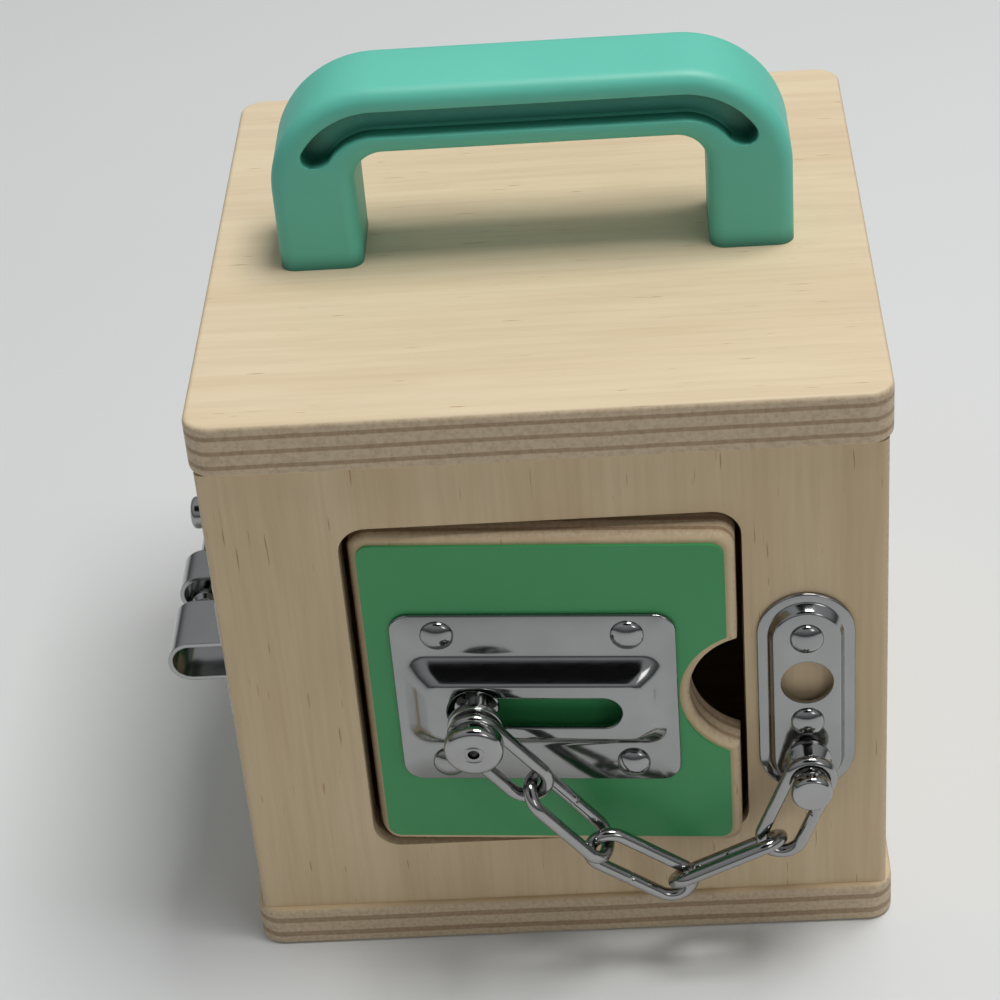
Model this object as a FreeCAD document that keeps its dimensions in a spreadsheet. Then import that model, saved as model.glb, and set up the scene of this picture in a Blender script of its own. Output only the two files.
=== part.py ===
import FreeCAD, Part
import Sketcher
import math
import os

# Wooden busy board: a plywood box that a child opens, with a carrying handle on its top,
# a pivoted door held by a door chain on its front, and a bolted door on its left side.
# Millimetres, +Z up, the front faces -Y, the origin is at the middle of the base's underside.

doc = FreeCAD.newDocument("busy_board")
Vec = FreeCAD.Vector
X_AXIS = Vec(1, 0, 0)
Y_AXIS = Vec(0, 1, 0)
Z_AXIS = Vec(0, 0, 1)
OUT = Vec(0, -1, 0)

# Driving dimensions

SIZES = [
    ("box_width", 150.0),
    ("box_depth", 150.0),
    ("wall_height", 127.0),
    ("wall_thickness", 9.0),
    ("wall_edge_radius", 1.8),
    ("base_thickness", 11.0),
    ("base_overhang", 1.6),
    ("lid_thickness", 13.0),
    ("lid_overhang", 1.2),
    ("panel_corner_radius", 6.0),
    ("panel_edge_radius", 1.2),
    ("dowel_diameter", 6.0),
    ("dowel_length", 20.0),
    ("dowel_inset", 14.0),
    ("dowel_in_panel", 8.0),
    ("dowel_clearance", 0.05),
    ("opening_width", 88.6),
    ("opening_height", 92.6),
    ("opening_above_base", 18.3),
    ("opening_corner_radius", 6.5),
    ("left_opening_corner_radius", 4.0),
    ("front_opening_shift", -1.5),
    ("left_opening_shift", 6.7),
    ("door_thickness", 9.0),
    ("facing_thickness", 0.8),
    ("door_hinge_gap", 1.5),
    ("door_free_gap", 1.4),
    ("door_bottom_gap", 1.0),
    ("door_top_gap", 2.8),
    ("door_corner_radius", 4.0),
    ("door_pivot_corner_radius", 5.5),
    ("door_edge_radius", 1.6),
    ("facing_inset", 2.2),
    ("facing_past_pivot", 2.0),
    ("facing_corner_radius", 3.0),
    ("front_door_ajar", 4.1),
    ("notch_radius", 16.0),
    ("notch_outside_edge", 5.0),
    ("pin_diameter", 3.0),
    ("pin_in_door", 12.0),
    ("pin_in_wall", 8.0),
    ("pin_running_clearance", 0.05),
    ("pin_seat_clearance", 0.02),
    ("handle_width", 118.6),
    ("handle_depth", 24.0),
    ("handle_height", 44.6),
    ("handle_leg", 19.3),
    ("handle_bar", 16.3),
    ("handle_outer_radius", 25.0),
    ("handle_inner_radius", 7.0),
    ("handle_edge_radius", 3.6),
    ("groove_inset", 5.2),
    ("groove_width", 6.4),
    ("groove_depth", 5.0),
    ("groove_leg_cover", 10.0),
    ("handle_screw_diameter", 4.0),
    ("handle_screw_grip", 16.0),
    ("handle_pilot_spare", 1.0),
    ("handle_screw_head", 8.0),
    ("handle_screw_head_height", 2.6),
    ("screw_hole_clearance", 0.2),
    ("sheet", 1.0),
    ("nail_head_diameter", 7.6),
    ("nail_head_height", 2.0),
    ("nail_head_rim", 0.6),
    ("nail_diameter", 2.2),
    ("nail_length", 9.0),
    ("nail_clearance", 0.02),
    ("track_width", 64.2),
    ("track_height", 47.7),
    ("track_corner_radius", 4.5),
    ("track_from_free_edge", 45.5),
    ("track_nail_spacing_x", 42.6),
    ("track_nail_spacing_z", 37.1),
    ("rib_length", 59.6),
    ("rib_height", 24.4),
    ("rib_rise", 5.1),
    ("rib_slope_end", 5.6),
    ("rib_slope_side", 4.5),
    ("rib_corner_share", 0.42),
    ("slot_width", 8.4),
    ("slot_end", 15.5),
    ("keyhole_diameter", 12.4),
    ("keyhole_place", 13.5),
    ("keeper_width", 22.0),
    ("keeper_height", 57.0),
    ("keeper_rim", 2.4),
    ("keeper_rise", 2.4),
    ("keeper_slope", 1.2),
    ("keeper_from_opening", 13.7),
    ("keeper_above_base", 59.4),
    ("keeper_hole_diameter", 11.8),
    ("keeper_hole_place", 5.3),
    ("keeper_top_nail_place", 18.0),
    ("keeper_low_nail_place", 5.9),
    ("post_place", 17.4),
    ("post_collar_diameter", 10.8),
    ("post_collar_length", 3.6),
    ("post_neck_diameter", 5.2),
    ("post_neck_length", 5.8),
    ("post_head_diameter", 9.4),
    ("post_head_length", 3.4),
    ("post_tail_length", 8.0),
    ("wire_diameter", 3.1),
    ("link_inner_width", 6.4),
    ("link_inner_length", 24.2),
    ("link_seat", 0.6),
    ("link_5_angle", 68.0),
    ("link_4_angle", 23.0),
    ("link_3_angle", 37.5),
    ("link_4_twist", 121.0),
    ("link_2_twist", 70.0),
    ("stud_flange_diameter", 10.4),
    ("stud_flange_length", 1.6),
    ("stud_waist_diameter", 5.2),
    ("stud_waist_length", 5.0),
    ("stud_collar_diameter", 12.6),
    ("stud_collar_length", 2.0),
    ("stud_neck_diameter", 5.2),
    ("stud_neck_length", 4.2),
    ("stud_head_diameter", 13.4),
    ("stud_head_length", 4.2),
    ("stud_behind_rib", 3.0),
    ("bolt_above_base", 72.0),
    ("bolt_arch_reach", 13.6),
    ("bolt_arch_width", 10.4),
    ("bolt_plate_length", 62.0),
    ("bolt_plate_height", 30.0),
    ("bolt_plate_from_edge", 4.5),
    ("bolt_front_arch", 11.0),
    ("bolt_rear_arch", 10.5),
    ("bolt_arch_from_end", 1.0),
    ("bolt_rear_arch_from_end", 10.0),
    ("bolt_plate_corner_radius", 2.0),
    ("bolt_keeper_length", 16.5),
    ("bolt_keeper_height", 36.0),
    ("bolt_keeper_from_edge", 2.0),
    ("bolt_nail_from_end", 3.8),
    ("rod_diameter", 6.4),
    ("rod_length", 71.0),
    ("rod_clearance", 0.8),
    ("rod_reach_from_wall", 7.2),
    ("rod_tip_short_of_edge", 1.4),
    ("knob_diameter", 8.0),
    ("knob_from_tip", 38.5),
    ("knob_reach_from_wall", 14.4),
]

sheet = doc.addObject("Spreadsheet::Sheet", "Sizes")
for row, (alias, value) in enumerate(SIZES, start=1):
    sheet.set("A%d" % row, alias)
    sheet.set("B%d" % row, str(value))
    sheet.setAlias("B%d" % row, alias)
doc.recompute()
size = {alias: float(sheet.get(alias)) for alias, value in SIZES}

nodes = []


def bind(thing, **expressions):
    """Bind properties of an object to cells of the sheet."""
    for prop, expression in expressions.items():
        words = expression.split()
        text = " ".join("Sizes." + word if word in size else word for word in words)
        thing.setExpression(prop, text)


def block(name, corner, length, width, height):
    """A box bound to the sheet, its lowest corner at the given point."""
    thing = doc.addObject("Part::Box", name)
    bind(thing, Length=length, Width=width, Height=height)
    thing.Placement = FreeCAD.Placement(corner, FreeCAD.Rotation())
    return thing


def rod(name, start, direction, radius, height):
    """A cylinder bound to the sheet, from a start point along a direction."""
    thing = doc.addObject("Part::Cylinder", name)
    bind(thing, Radius=radius, Height=height)
    thing.Placement = FreeCAD.Placement(start, FreeCAD.Rotation(Z_AXIS, direction))
    return thing


def cut(name, base, tools):
    """The base with every tool taken out of it."""
    taken = tools[0]
    if len(tools) > 1:
        taken = doc.addObject("Part::MultiFuse", name + "_tools")
        taken.Shapes = tools
    thing = doc.addObject("Part::Cut", name)
    thing.Base = base
    thing.Tool = taken
    return thing


def join(name, pieces):
    """Several pieces fused into one solid."""
    thing = doc.addObject("Part::MultiFuse", name)
    thing.Shapes = pieces
    thing.Refine = True
    return thing


def rounded(name, base, radius, chosen):
    """The base with a fillet on each edge that the test picks."""
    doc.recompute()
    thing = doc.addObject("Part::Fillet", name)
    thing.Base = base
    picked = [n for n, edge in enumerate(base.Shape.Edges, start=1) if chosen(edge)]
    thing.Edges = [(n, radius, radius) for n in picked]
    return thing


def runs_along(edge, axis):
    """True for a straight edge parallel to the axis."""
    if edge.Curve.TypeId != "Part::GeomLine":
        return False
    return abs(abs(edge.Curve.Direction.dot(axis)) - 1) < 1e-6


def keep(thing, label, placement=None):
    """Name a finished sub-part and list it for the export."""
    thing.Label = label
    if placement is not None:
        thing.Placement = placement
    nodes.append(thing)
    return thing


# Places that the pieces share

half_width = size["box_width"] / 2
half_depth = size["box_depth"] / 2
wall = size["wall_thickness"]
base_top = size["base_thickness"]
lid_bottom = base_top + size["wall_height"]
lid_top = lid_bottom + size["lid_thickness"]
opening_low = base_top + size["opening_above_base"]
opening_high = opening_low + size["opening_height"]
door_low = opening_low + size["door_bottom_gap"]
door_high = opening_high - size["door_top_gap"]
door_half = size["door_thickness"] / 2
pivot_inset = half_depth - size["facing_thickness"] - door_half
door_reach = size["opening_width"] - size["door_hinge_gap"] - size["door_free_gap"] - door_half
pivot_from_edge = size["door_hinge_gap"] + door_half
to_left_side = FreeCAD.Placement(Vec(), FreeCAD.Rotation(Z_AXIS, -90))
left_face_shift = half_width - half_depth


# Base and top panels

def panel(name, low, thickness, overhang, holes):
    """A square panel with round corners and eased edges, with holes for dowels or screws."""
    corner = Vec(-half_width - overhang[1], -half_depth - overhang[1], low)
    wide = "box_width + 2 * " + overhang[0]
    deep = "box_depth + 2 * " + overhang[0]
    plain = block(name + "_plain", corner, wide, deep, thickness)
    cornered = rounded(name + "_cornered", plain, size["panel_corner_radius"],
                       lambda edge: runs_along(edge, Z_AXIS))
    eased = rounded(name + "_eased", cornered, size["panel_edge_radius"],
                    lambda edge: edge.BoundBox.ZLength < 0.01)
    return cut(name, eased, holes)


dowel_x = half_width - size["dowel_inset"]
dowel_y = half_depth - wall / 2
dowel_sink = size["dowel_in_panel"]
dowel_spots = [Vec(x, y, 0) for x in (-dowel_x, dowel_x) for y in (-dowel_y, dowel_y)]
dowel_hole_radius = "dowel_diameter / 2 + dowel_clearance"


def dowel_holes(name, start_height, spots):
    """Blind holes for the upright dowels, each as long as a dowel."""
    holes = []
    for n, spot in enumerate(spots):
        start = spot + Z_AXIS * start_height
        holes.append(rod("%s_%d" % (name, n), start, Z_AXIS, dowel_hole_radius, "dowel_length"))
    return holes


low_dowels = base_top - dowel_sink
high_dowels = lid_bottom + dowel_sink - size["dowel_length"]
leg_centre = size["handle_width"] / 2 - size["handle_leg"] / 2

base_panel = panel("base_panel", 0, "base_thickness", ("base_overhang", size["base_overhang"]),
                   dowel_holes("base_dowel_hole", low_dowels, dowel_spots))
keep(base_panel, "base_panel")

screw_holes = [rod("lid_screw_hole_%d" % n, Vec(x, 0, lid_bottom), Z_AXIS,
                   "handle_screw_diameter / 2 + screw_hole_clearance", "lid_thickness")
               for n, x in enumerate((-leg_centre, leg_centre))]
top_panel = panel("top_panel", lid_bottom, "lid_thickness", ("lid_overhang", size["lid_overhang"]),
                  dowel_holes("lid_dowel_hole", high_dowels, dowel_spots) + screw_holes)
keep(top_panel, "top_panel")

dowels = []
for height in (low_dowels, high_dowels):
    for spot in dowel_spots:
        name = "dowel_%d" % len(dowels)
        dowels.append(rod(name, spot + Z_AXIS * height, Z_AXIS, "dowel_diameter / 2", "dowel_length"))
dowel_group = doc.addObject("Part::Compound", "panel_dowels")
dowel_group.Links = dowels
keep(dowel_group, "panel_dowels")


# Walls, with a doorway in the front one and in the left one

def nail_holes(name, spots, surface, length):
    """Holes for nails driven in from a surface that faces -Y."""
    radius = "nail_diameter / 2 + nail_clearance"
    return [rod("%s_%d" % (name, n), Vec(x, surface, z), Y_AXIS, radius, length)
            for n, (x, z) in enumerate(spots)]


def doorway(name, shift, corner_radius):
    """The doorway's cutter, with the pivot pins' holes above and below it."""
    left = shift - size["opening_width"] / 2
    plain = block(name + "_plain", Vec(left, -half_depth, opening_low),
                  "opening_width", "wall_thickness", "opening_height")
    cutter = rounded(name + "_cutter", plain, corner_radius,
                     lambda edge: runs_along(edge, Y_AXIS))
    radius = "pin_diameter / 2 + pin_seat_clearance"
    pivot = left + pivot_from_edge
    low = rod(name + "_low_pin_hole", Vec(pivot, -pivot_inset, opening_low - size["pin_in_wall"]),
              Z_AXIS, radius, "pin_in_wall + opening_corner_radius")
    high = rod(name + "_high_pin_hole",
               Vec(pivot, -pivot_inset, opening_high - size["opening_corner_radius"]),
               Z_AXIS, radius, "pin_in_wall + opening_corner_radius")
    return [cutter, low, high]


def wall_slab(name, length, length_value, holes):
    """An upright plywood wall along X at the front, with holes through it."""
    plain = block(name + "_plain", Vec(-length_value / 2, -half_depth, base_top),
                  length, "wall_thickness", "wall_height")
    if holes:
        return cut(name + "_cut", plain, holes)
    return plain


def outer_upright(edge):
    """True for the wall's two upright edges on its outer face."""
    at_end = abs(abs(edge.CenterOfMass.x) - half_width) < 0.01
    return runs_along(edge, Z_AXIS) and at_end and edge.CenterOfMass.y < -half_depth + 0.01


keeper_x = size["front_opening_shift"] + size["opening_width"] / 2 + size["keeper_from_opening"]
keeper_z = base_top + size["keeper_above_base"]
keeper_face = -half_depth - size["keeper_rise"] - size["sheet"]
keeper_nail_spots = [(keeper_x, keeper_z + size["keeper_top_nail_place"]),
                     (keeper_x, keeper_z - size["keeper_low_nail_place"])]
post_z = keeper_z - size["post_place"]
front_dowel_spots = [spot for spot in dowel_spots if spot.y < 0]
post_hole = rod("front_wall_post_hole", Vec(keeper_x, -half_depth, post_z), Y_AXIS,
                "nail_diameter / 2 + nail_clearance", "post_tail_length")
front_holes = doorway("front_doorway", size["front_opening_shift"],
                      size["opening_corner_radius"])
front_holes += nail_holes("front_wall_nail_hole", keeper_nail_spots, -half_depth,
                          "nail_length - keeper_rise - sheet")
front_holes += dowel_holes("front_low_dowel_hole", low_dowels, front_dowel_spots)
front_holes += dowel_holes("front_high_dowel_hole", high_dowels, front_dowel_spots)
front_holes.append(post_hole)
front_slab = wall_slab("front_slab", "box_width", size["box_width"], front_holes)
front_wall = rounded("front_wall", front_slab, size["wall_edge_radius"], outer_upright)
keep(front_wall, "front_wall")

back_holes = dowel_holes("back_low_dowel_hole", low_dowels, front_dowel_spots)
back_holes += dowel_holes("back_high_dowel_hole", high_dowels, front_dowel_spots)
back_slab = wall_slab("back_slab", "box_width", size["box_width"], back_holes)
back_wall = rounded("back_wall", back_slab, size["wall_edge_radius"], outer_upright)
keep(back_wall, "back_wall", FreeCAD.Placement(Vec(), FreeCAD.Rotation(Z_AXIS, 180)))

# The side walls stand between the front and back walls. They are made facing -Y and turned.

side_length = "box_depth - 2 * wall_thickness"
side_length_value = size["box_depth"] - 2 * wall
bolt_z = base_top + size["bolt_above_base"]
left_opening_edge = size["left_opening_shift"] + size["opening_width"] / 2
bolt_keeper_start = left_opening_edge + size["bolt_keeper_from_edge"]
bolt_keeper_nail_x = (left_opening_edge + half_depth - wall) / 2
bolt_keeper_nail_rise = size["bolt_keeper_height"] / 2 - size["bolt_nail_from_end"] - size["sheet"]
bolt_keeper_nail_spots = [(bolt_keeper_nail_x, bolt_z + side * bolt_keeper_nail_rise)
                          for side in (-1, 1)]
left_holes = doorway("left_doorway", size["left_opening_shift"],
                     size["left_opening_corner_radius"])
left_holes += nail_holes("left_wall_nail_hole", bolt_keeper_nail_spots, -half_depth,
                         "nail_length - sheet")
left_wall = wall_slab("left_slab", side_length, side_length_value, left_holes)
left_turn = FreeCAD.Placement(Vec(-left_face_shift, 0, 0), FreeCAD.Rotation(Z_AXIS, -90))
keep(left_wall, "left_wall", left_turn)
right_wall = block("right_slab", Vec(-side_length_value / 2, -half_depth, base_top),
                   side_length, "wall_thickness", "wall_height")
right_turn = FreeCAD.Placement(Vec(left_face_shift, 0, 0), FreeCAD.Rotation(Z_AXIS, 90))
right_wall.Placement = right_turn.multiply(right_wall.Placement)
keep(right_wall, "right_wall")


# Doors: a plywood leaf with a thin coloured facing, made closed and facing -Y, with X from its pivot

def leaf(name, holes, notched):
    """A door's plywood leaf, rounded all along its pivot edge and at its four corners."""
    height = door_high - door_low
    tall = "opening_height - door_bottom_gap - door_top_gap"
    wide = "opening_width - door_hinge_gap - door_free_gap"
    plain = block(name + "_plain", Vec(0, -door_half, door_low), wide + " - door_thickness / 2",
                  "door_thickness", tall)
    tools = list(holes)
    if notched:
        spot = Vec(door_reach + size["notch_outside_edge"], door_half, door_low + height / 2)
        tools.append(rod(name + "_notch", spot, OUT, "notch_radius", "door_thickness"))
    spine = rod(name + "_spine", Vec(0, 0, door_low), Z_AXIS, "door_thickness / 2", tall)
    square = join(name + "_square", [plain, spine])
    outline = block(name + "_outline", Vec(-door_half, -door_half, door_low), wide,
                    "door_thickness", tall)
    free_corners = rounded(name + "_free_corners", outline, size["door_corner_radius"],
                           lambda edge: runs_along(edge, Y_AXIS) and edge.CenterOfMass.x > 0)
    all_corners = rounded(name + "_all_corners", free_corners, size["door_pivot_corner_radius"],
                          lambda edge: runs_along(edge, Y_AXIS)
                          and edge.CenterOfMass.x < -door_half + 0.01)
    whole = doc.addObject("Part::Common", name + "_whole")
    whole.Base = square
    whole.Tool = all_corners
    pin_radius = "pin_diameter / 2 + pin_running_clearance"
    tools.append(rod(name + "_low_bore", Vec(0, 0, door_low), Z_AXIS, pin_radius, "pin_in_door"))
    tools.append(rod(name + "_high_bore", Vec(0, 0, door_high - size["pin_in_door"]), Z_AXIS,
                     pin_radius, "pin_in_door"))
    bored = cut(name + "_bored", whole, tools)
    return rounded(name, bored, size["door_edge_radius"], on_leaf_front_rim)


def on_leaf_front_rim(edge):
    """True for the edges of a leaf's front face, except at its round pivot edge and its holes."""
    box = edge.BoundBox
    on_front = abs(box.YMin + door_half) < 0.01 and abs(box.YMax + door_half) < 0.01
    is_hole = edge.Curve.TypeId == "Part::GeomCircle" and edge.Curve.Radius < 2
    return on_front and not is_hole and box.XMax > 0.01


def facing(name, holes, notched):
    """A door's thin facing, set in from the leaf's edges."""
    inset = size["facing_inset"]
    height = door_high - door_low
    plain = block(name + "_plain",
                  Vec(-size["facing_past_pivot"], -door_half - size["facing_thickness"],
                      door_low + inset),
                  "opening_width - door_hinge_gap - door_free_gap - door_thickness / 2"
                  " - facing_inset + facing_past_pivot",
                  "facing_thickness",
                  "opening_height - door_bottom_gap - door_top_gap - 2 * facing_inset")
    cornered = rounded(name + "_cornered", plain, size["facing_corner_radius"],
                       lambda edge: runs_along(edge, Y_AXIS))
    tools = list(holes)
    if notched:
        spot = Vec(door_reach + size["notch_outside_edge"], 0, door_low + height / 2)
        tools.append(rod(name + "_notch", spot, OUT, "notch_radius + facing_inset",
                         "door_thickness"))
    return cut(name, cornered, tools)


def pivot_pins(name, pivot_x):
    """The two steel pins that a door turns on, pressed into the wall above and below it."""
    low = rod(name + "_low", Vec(pivot_x, -pivot_inset, opening_low - size["pin_in_wall"]), Z_AXIS,
              "pin_diameter / 2", "pin_in_wall + door_bottom_gap + pin_in_door")
    high = rod(name + "_high", Vec(pivot_x, -pivot_inset, door_high - size["pin_in_door"]), Z_AXIS,
               "pin_diameter / 2", "pin_in_door + door_top_gap + pin_in_wall")
    pins = doc.addObject("Part::Compound", name)
    pins.Links = [low, high]
    return pins


track_x = door_reach - size["track_from_free_edge"]
track_z = (door_low + door_high) / 2
track_nail_spots = [(track_x + side * size["track_nail_spacing_x"] / 2,
                     track_z + rise * size["track_nail_spacing_z"] / 2)
                    for side in (-1, 1) for rise in (-1, 1)]
front_pivot_x = size["front_opening_shift"] - size["opening_width"] / 2 + pivot_from_edge
ajar = FreeCAD.Placement(Vec(front_pivot_x, -pivot_inset, 0),
                         FreeCAD.Rotation(Z_AXIS, -size["front_door_ajar"]))
front_door = leaf("front_leaf", nail_holes("front_leaf_nail_hole", track_nail_spots, -door_half,
                                           "nail_length - sheet - facing_thickness"), True)
keep(front_door, "front_door", ajar)
front_facing = facing("front_facing", nail_holes("front_facing_nail_hole", track_nail_spots,
                                                 -door_half - size["facing_thickness"],
                                                 "facing_thickness"), True)
keep(front_facing, "front_door_facing", ajar)
keep(pivot_pins("front_pins", front_pivot_x), "front_hinge_pins")

left_pivot = size["left_opening_shift"] - size["opening_width"] / 2 + pivot_from_edge
bolt_plate_end = door_reach - size["bolt_plate_from_edge"]
bolt_plate_start = bolt_plate_end - size["bolt_plate_length"]
bolt_nail_rise = size["bolt_plate_height"] / 2 - size["bolt_nail_from_end"]
bolt_nail_spots = [(x, bolt_z + side * bolt_nail_rise)
                   for x in (bolt_plate_start + size["bolt_nail_from_end"],
                             bolt_plate_end - size["bolt_nail_from_end"]) for side in (-1, 1)]
shut = FreeCAD.Placement(Vec(left_pivot, -pivot_inset, 0), FreeCAD.Rotation())
left_shut = left_turn.multiply(shut)
left_door = leaf("left_leaf", nail_holes("left_leaf_nail_hole", bolt_nail_spots, -door_half,
                                         "nail_length - sheet - facing_thickness"), False)
keep(left_door, "left_door", left_shut)
left_facing = facing("left_facing", nail_holes("left_facing_nail_hole", bolt_nail_spots,
                                               -door_half - size["facing_thickness"],
                                               "facing_thickness"), False)
keep(left_facing, "left_door_facing", left_shut)
keep(pivot_pins("left_pins", left_pivot), "left_hinge_pins", left_turn)


# Handle: a moulded arch with a round-ended groove in each face, and two screws from below

leg_top = lid_top + size["handle_height"]
half_handle = size["handle_width"] / 2
handle_y = -size["handle_depth"] / 2
arch_plain = block("handle_plain", Vec(-half_handle, handle_y, lid_top),
                   "handle_width", "handle_depth", "handle_height")
arch_outer = rounded("handle_outer", arch_plain, size["handle_outer_radius"],
                     lambda edge: runs_along(edge, Y_AXIS) and edge.CenterOfMass.z > leg_top - 1)
gap_plain = block("handle_gap_plain", Vec(-half_handle + size["handle_leg"], handle_y, lid_top - 1),
                  "handle_width - 2 * handle_leg", "handle_depth",
                  "handle_height - handle_bar + 1")
gap_cutter = rounded("handle_gap", gap_plain, size["handle_inner_radius"],
                     lambda edge: runs_along(edge, Y_AXIS) and edge.CenterOfMass.z > lid_top + 1)
arch_open = cut("handle_arch", arch_outer, [gap_cutter])


def on_handle_face(edge):
    """True for the handle's outline edges on its front and back faces."""
    box = edge.BoundBox
    on_face = box.YLength < 0.01 and abs(abs(box.YMin) - size["handle_depth"] / 2) < 0.01
    return on_face and box.ZMax > lid_top + 0.01


arch_round = rounded("handle_round", arch_open, size["handle_edge_radius"], on_handle_face)
groove_end_z = leg_top - size["handle_bar"]
arc_centre_z = leg_top - size["handle_outer_radius"]
groove_mid_radius = size["handle_outer_radius"] - size["groove_inset"] - size["groove_width"] / 2
groove_end_rise = groove_end_z - arc_centre_z
groove_end_reach = math.sqrt(groove_mid_radius ** 2 - groove_end_rise ** 2)
groove_end_x = half_handle - size["handle_outer_radius"] + groove_end_reach


def groove_ring(name, front):
    """One face's groove: the band between two rounded outlines, above the ends' centres."""
    outer_plain = block(name + "_outer_plain",
                        Vec(-half_handle + size["groove_inset"], front, groove_end_z),
                        "handle_width - 2 * groove_inset", "groove_depth",
                        "handle_bar - groove_inset")
    inner_inset = size["groove_inset"] + size["groove_width"]
    tall_low = arc_centre_z - size["groove_leg_cover"]
    tall_outer = block(name + "_tall_outer",
                       Vec(-half_handle + size["groove_inset"], front, tall_low),
                       "handle_width - 2 * groove_inset", "groove_depth",
                       "handle_outer_radius + groove_leg_cover - groove_inset")
    tall_inner = block(name + "_tall_inner",
                       Vec(-half_handle + inner_inset, front, tall_low),
                       "handle_width - 2 * groove_inset - 2 * groove_width", "groove_depth",
                       "handle_outer_radius + groove_leg_cover - groove_inset - groove_width")
    outer = rounded(name + "_outer", tall_outer,
                    size["handle_outer_radius"] - size["groove_inset"],
                    lambda edge: runs_along(edge, Y_AXIS) and edge.CenterOfMass.z > arc_centre_z)
    inner = rounded(name + "_inner", tall_inner, size["handle_outer_radius"] - inner_inset,
                    lambda edge: runs_along(edge, Y_AXIS) and edge.CenterOfMass.z > arc_centre_z)
    band = cut(name + "_band", outer, [inner])
    upper = doc.addObject("Part::Common", name + "_upper")
    upper.Base = band
    upper.Tool = outer_plain
    ends = [rod("%s_end_%d" % (name, n), Vec(x, front, groove_end_z), Y_AXIS,
                "groove_width / 2", "groove_depth")
            for n, x in enumerate((-groove_end_x, groove_end_x))]
    return [upper] + ends


handle_tools = groove_ring("front_groove", handle_y)
handle_tools += groove_ring("back_groove", -handle_y - size["groove_depth"])
for n, x in enumerate((-leg_centre, leg_centre)):
    handle_tools.append(rod("handle_pilot_%d" % n, Vec(x, 0, lid_top), Z_AXIS,
                            "handle_screw_diameter / 2 + nail_clearance",
                            "handle_screw_grip + handle_pilot_spare"))
keep(cut("handle_body", arch_round, handle_tools), "handle")

handle_screws = []
for n, x in enumerate((-leg_centre, leg_centre)):
    head = rod("handle_screw_head_%d" % n, Vec(x, 0, lid_bottom - size["handle_screw_head_height"]),
               Z_AXIS, "handle_screw_head / 2", "handle_screw_head_height")
    shank = rod("handle_screw_shank_%d" % n, Vec(x, 0, lid_bottom), Z_AXIS,
                "handle_screw_diameter / 2", "lid_thickness + handle_screw_grip")
    handle_screws.append(join("handle_screw_%d" % n, [head, shank]))
screw_group = doc.addObject("Part::Compound", "handle_screw_pair")
screw_group.Links = handle_screws
keep(screw_group, "handle_screws")


# Turned metal pieces, each a half profile revolved about its own Z axis

def plane_of(body, role):
    """One of the body's own origin planes, found by its role."""
    return [plane for plane in body.Origin.OriginFeatures if plane.Role == role][0]


def new_sketch(body, role, name):
    """A sketch on one of the body's own origin planes."""
    sketch = body.newObject("Sketcher::SketchObject", name)
    sketch.AttachmentSupport = [(plane_of(body, role), "")]
    sketch.MapMode = "FlatFace"
    return sketch


def turned(name, steps):
    """A turned piece from steps along its axis, each a cell for its diameter and its length."""
    body = doc.addObject("PartDesign::Body", name)
    sketch = new_sketch(body, "XZ_Plane", name + "_profile")
    corners = [Vec(0, 0, 0)]
    along = 0.0
    for diameter, length in steps:
        corners.append(Vec(size[diameter] / 2, along, 0))
        along += size[length]
        corners.append(Vec(size[diameter] / 2, along, 0))
    corners.append(Vec(0, along, 0))
    count = len(corners)
    for n in range(count):
        sketch.addGeometry(Part.LineSegment(corners[n], corners[(n + 1) % count]), False)
    for n in range(count):
        sketch.addConstraint(Sketcher.Constraint("Coincident", n, 2, (n + 1) % count, 1))
    sketch.addConstraint(Sketcher.Constraint("Coincident", 0, 1, -1, 1))
    for n in range(count - 1):
        sketch.addConstraint(Sketcher.Constraint("Horizontal" if n % 2 == 0 else "Vertical", n))
    sketch.addConstraint(Sketcher.Constraint("PointOnObject", count - 1, 1, -2))
    for n, (diameter, length) in enumerate(steps):
        side = 2 * n + 1
        radius = sketch.addConstraint(
            Sketcher.Constraint("DistanceX", -1, 1, side, 1, size[diameter] / 2))
        sketch.setExpression("Constraints[%d]" % radius, "Sizes.%s / 2" % diameter)
        height = sketch.addConstraint(
            Sketcher.Constraint("DistanceY", side, 1, side, 2, size[length]))
        sketch.setExpression("Constraints[%d]" % height, "Sizes.%s" % length)
    turn = body.newObject("PartDesign::Revolution", name + "_turn")
    turn.Profile = sketch
    turn.ReferenceAxis = (sketch, ["V_Axis"])
    turn.Angle = 360.0
    return body


def softened(name, body, radius, chosen):
    """A turned body with a fillet on each round edge that the test picks."""
    doc.recompute()
    shape = body.Shape
    names = ["Edge%d" % n for n, edge in enumerate(shape.Edges, start=1)
             if edge.Curve.TypeId == "Part::GeomCircle" and chosen(edge)]
    turned_tip = body.Tip
    round_over = body.newObject("PartDesign::Fillet", name)
    round_over.Base = (turned_tip, names)
    round_over.Radius = radius
    return body


def aim(spot, direction):
    """A placement that sends a turned piece's own Z axis along a direction."""
    return FreeCAD.Placement(spot, FreeCAD.Rotation(Z_AXIS, direction))


# Dome-headed nails, which hold every plate

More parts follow.
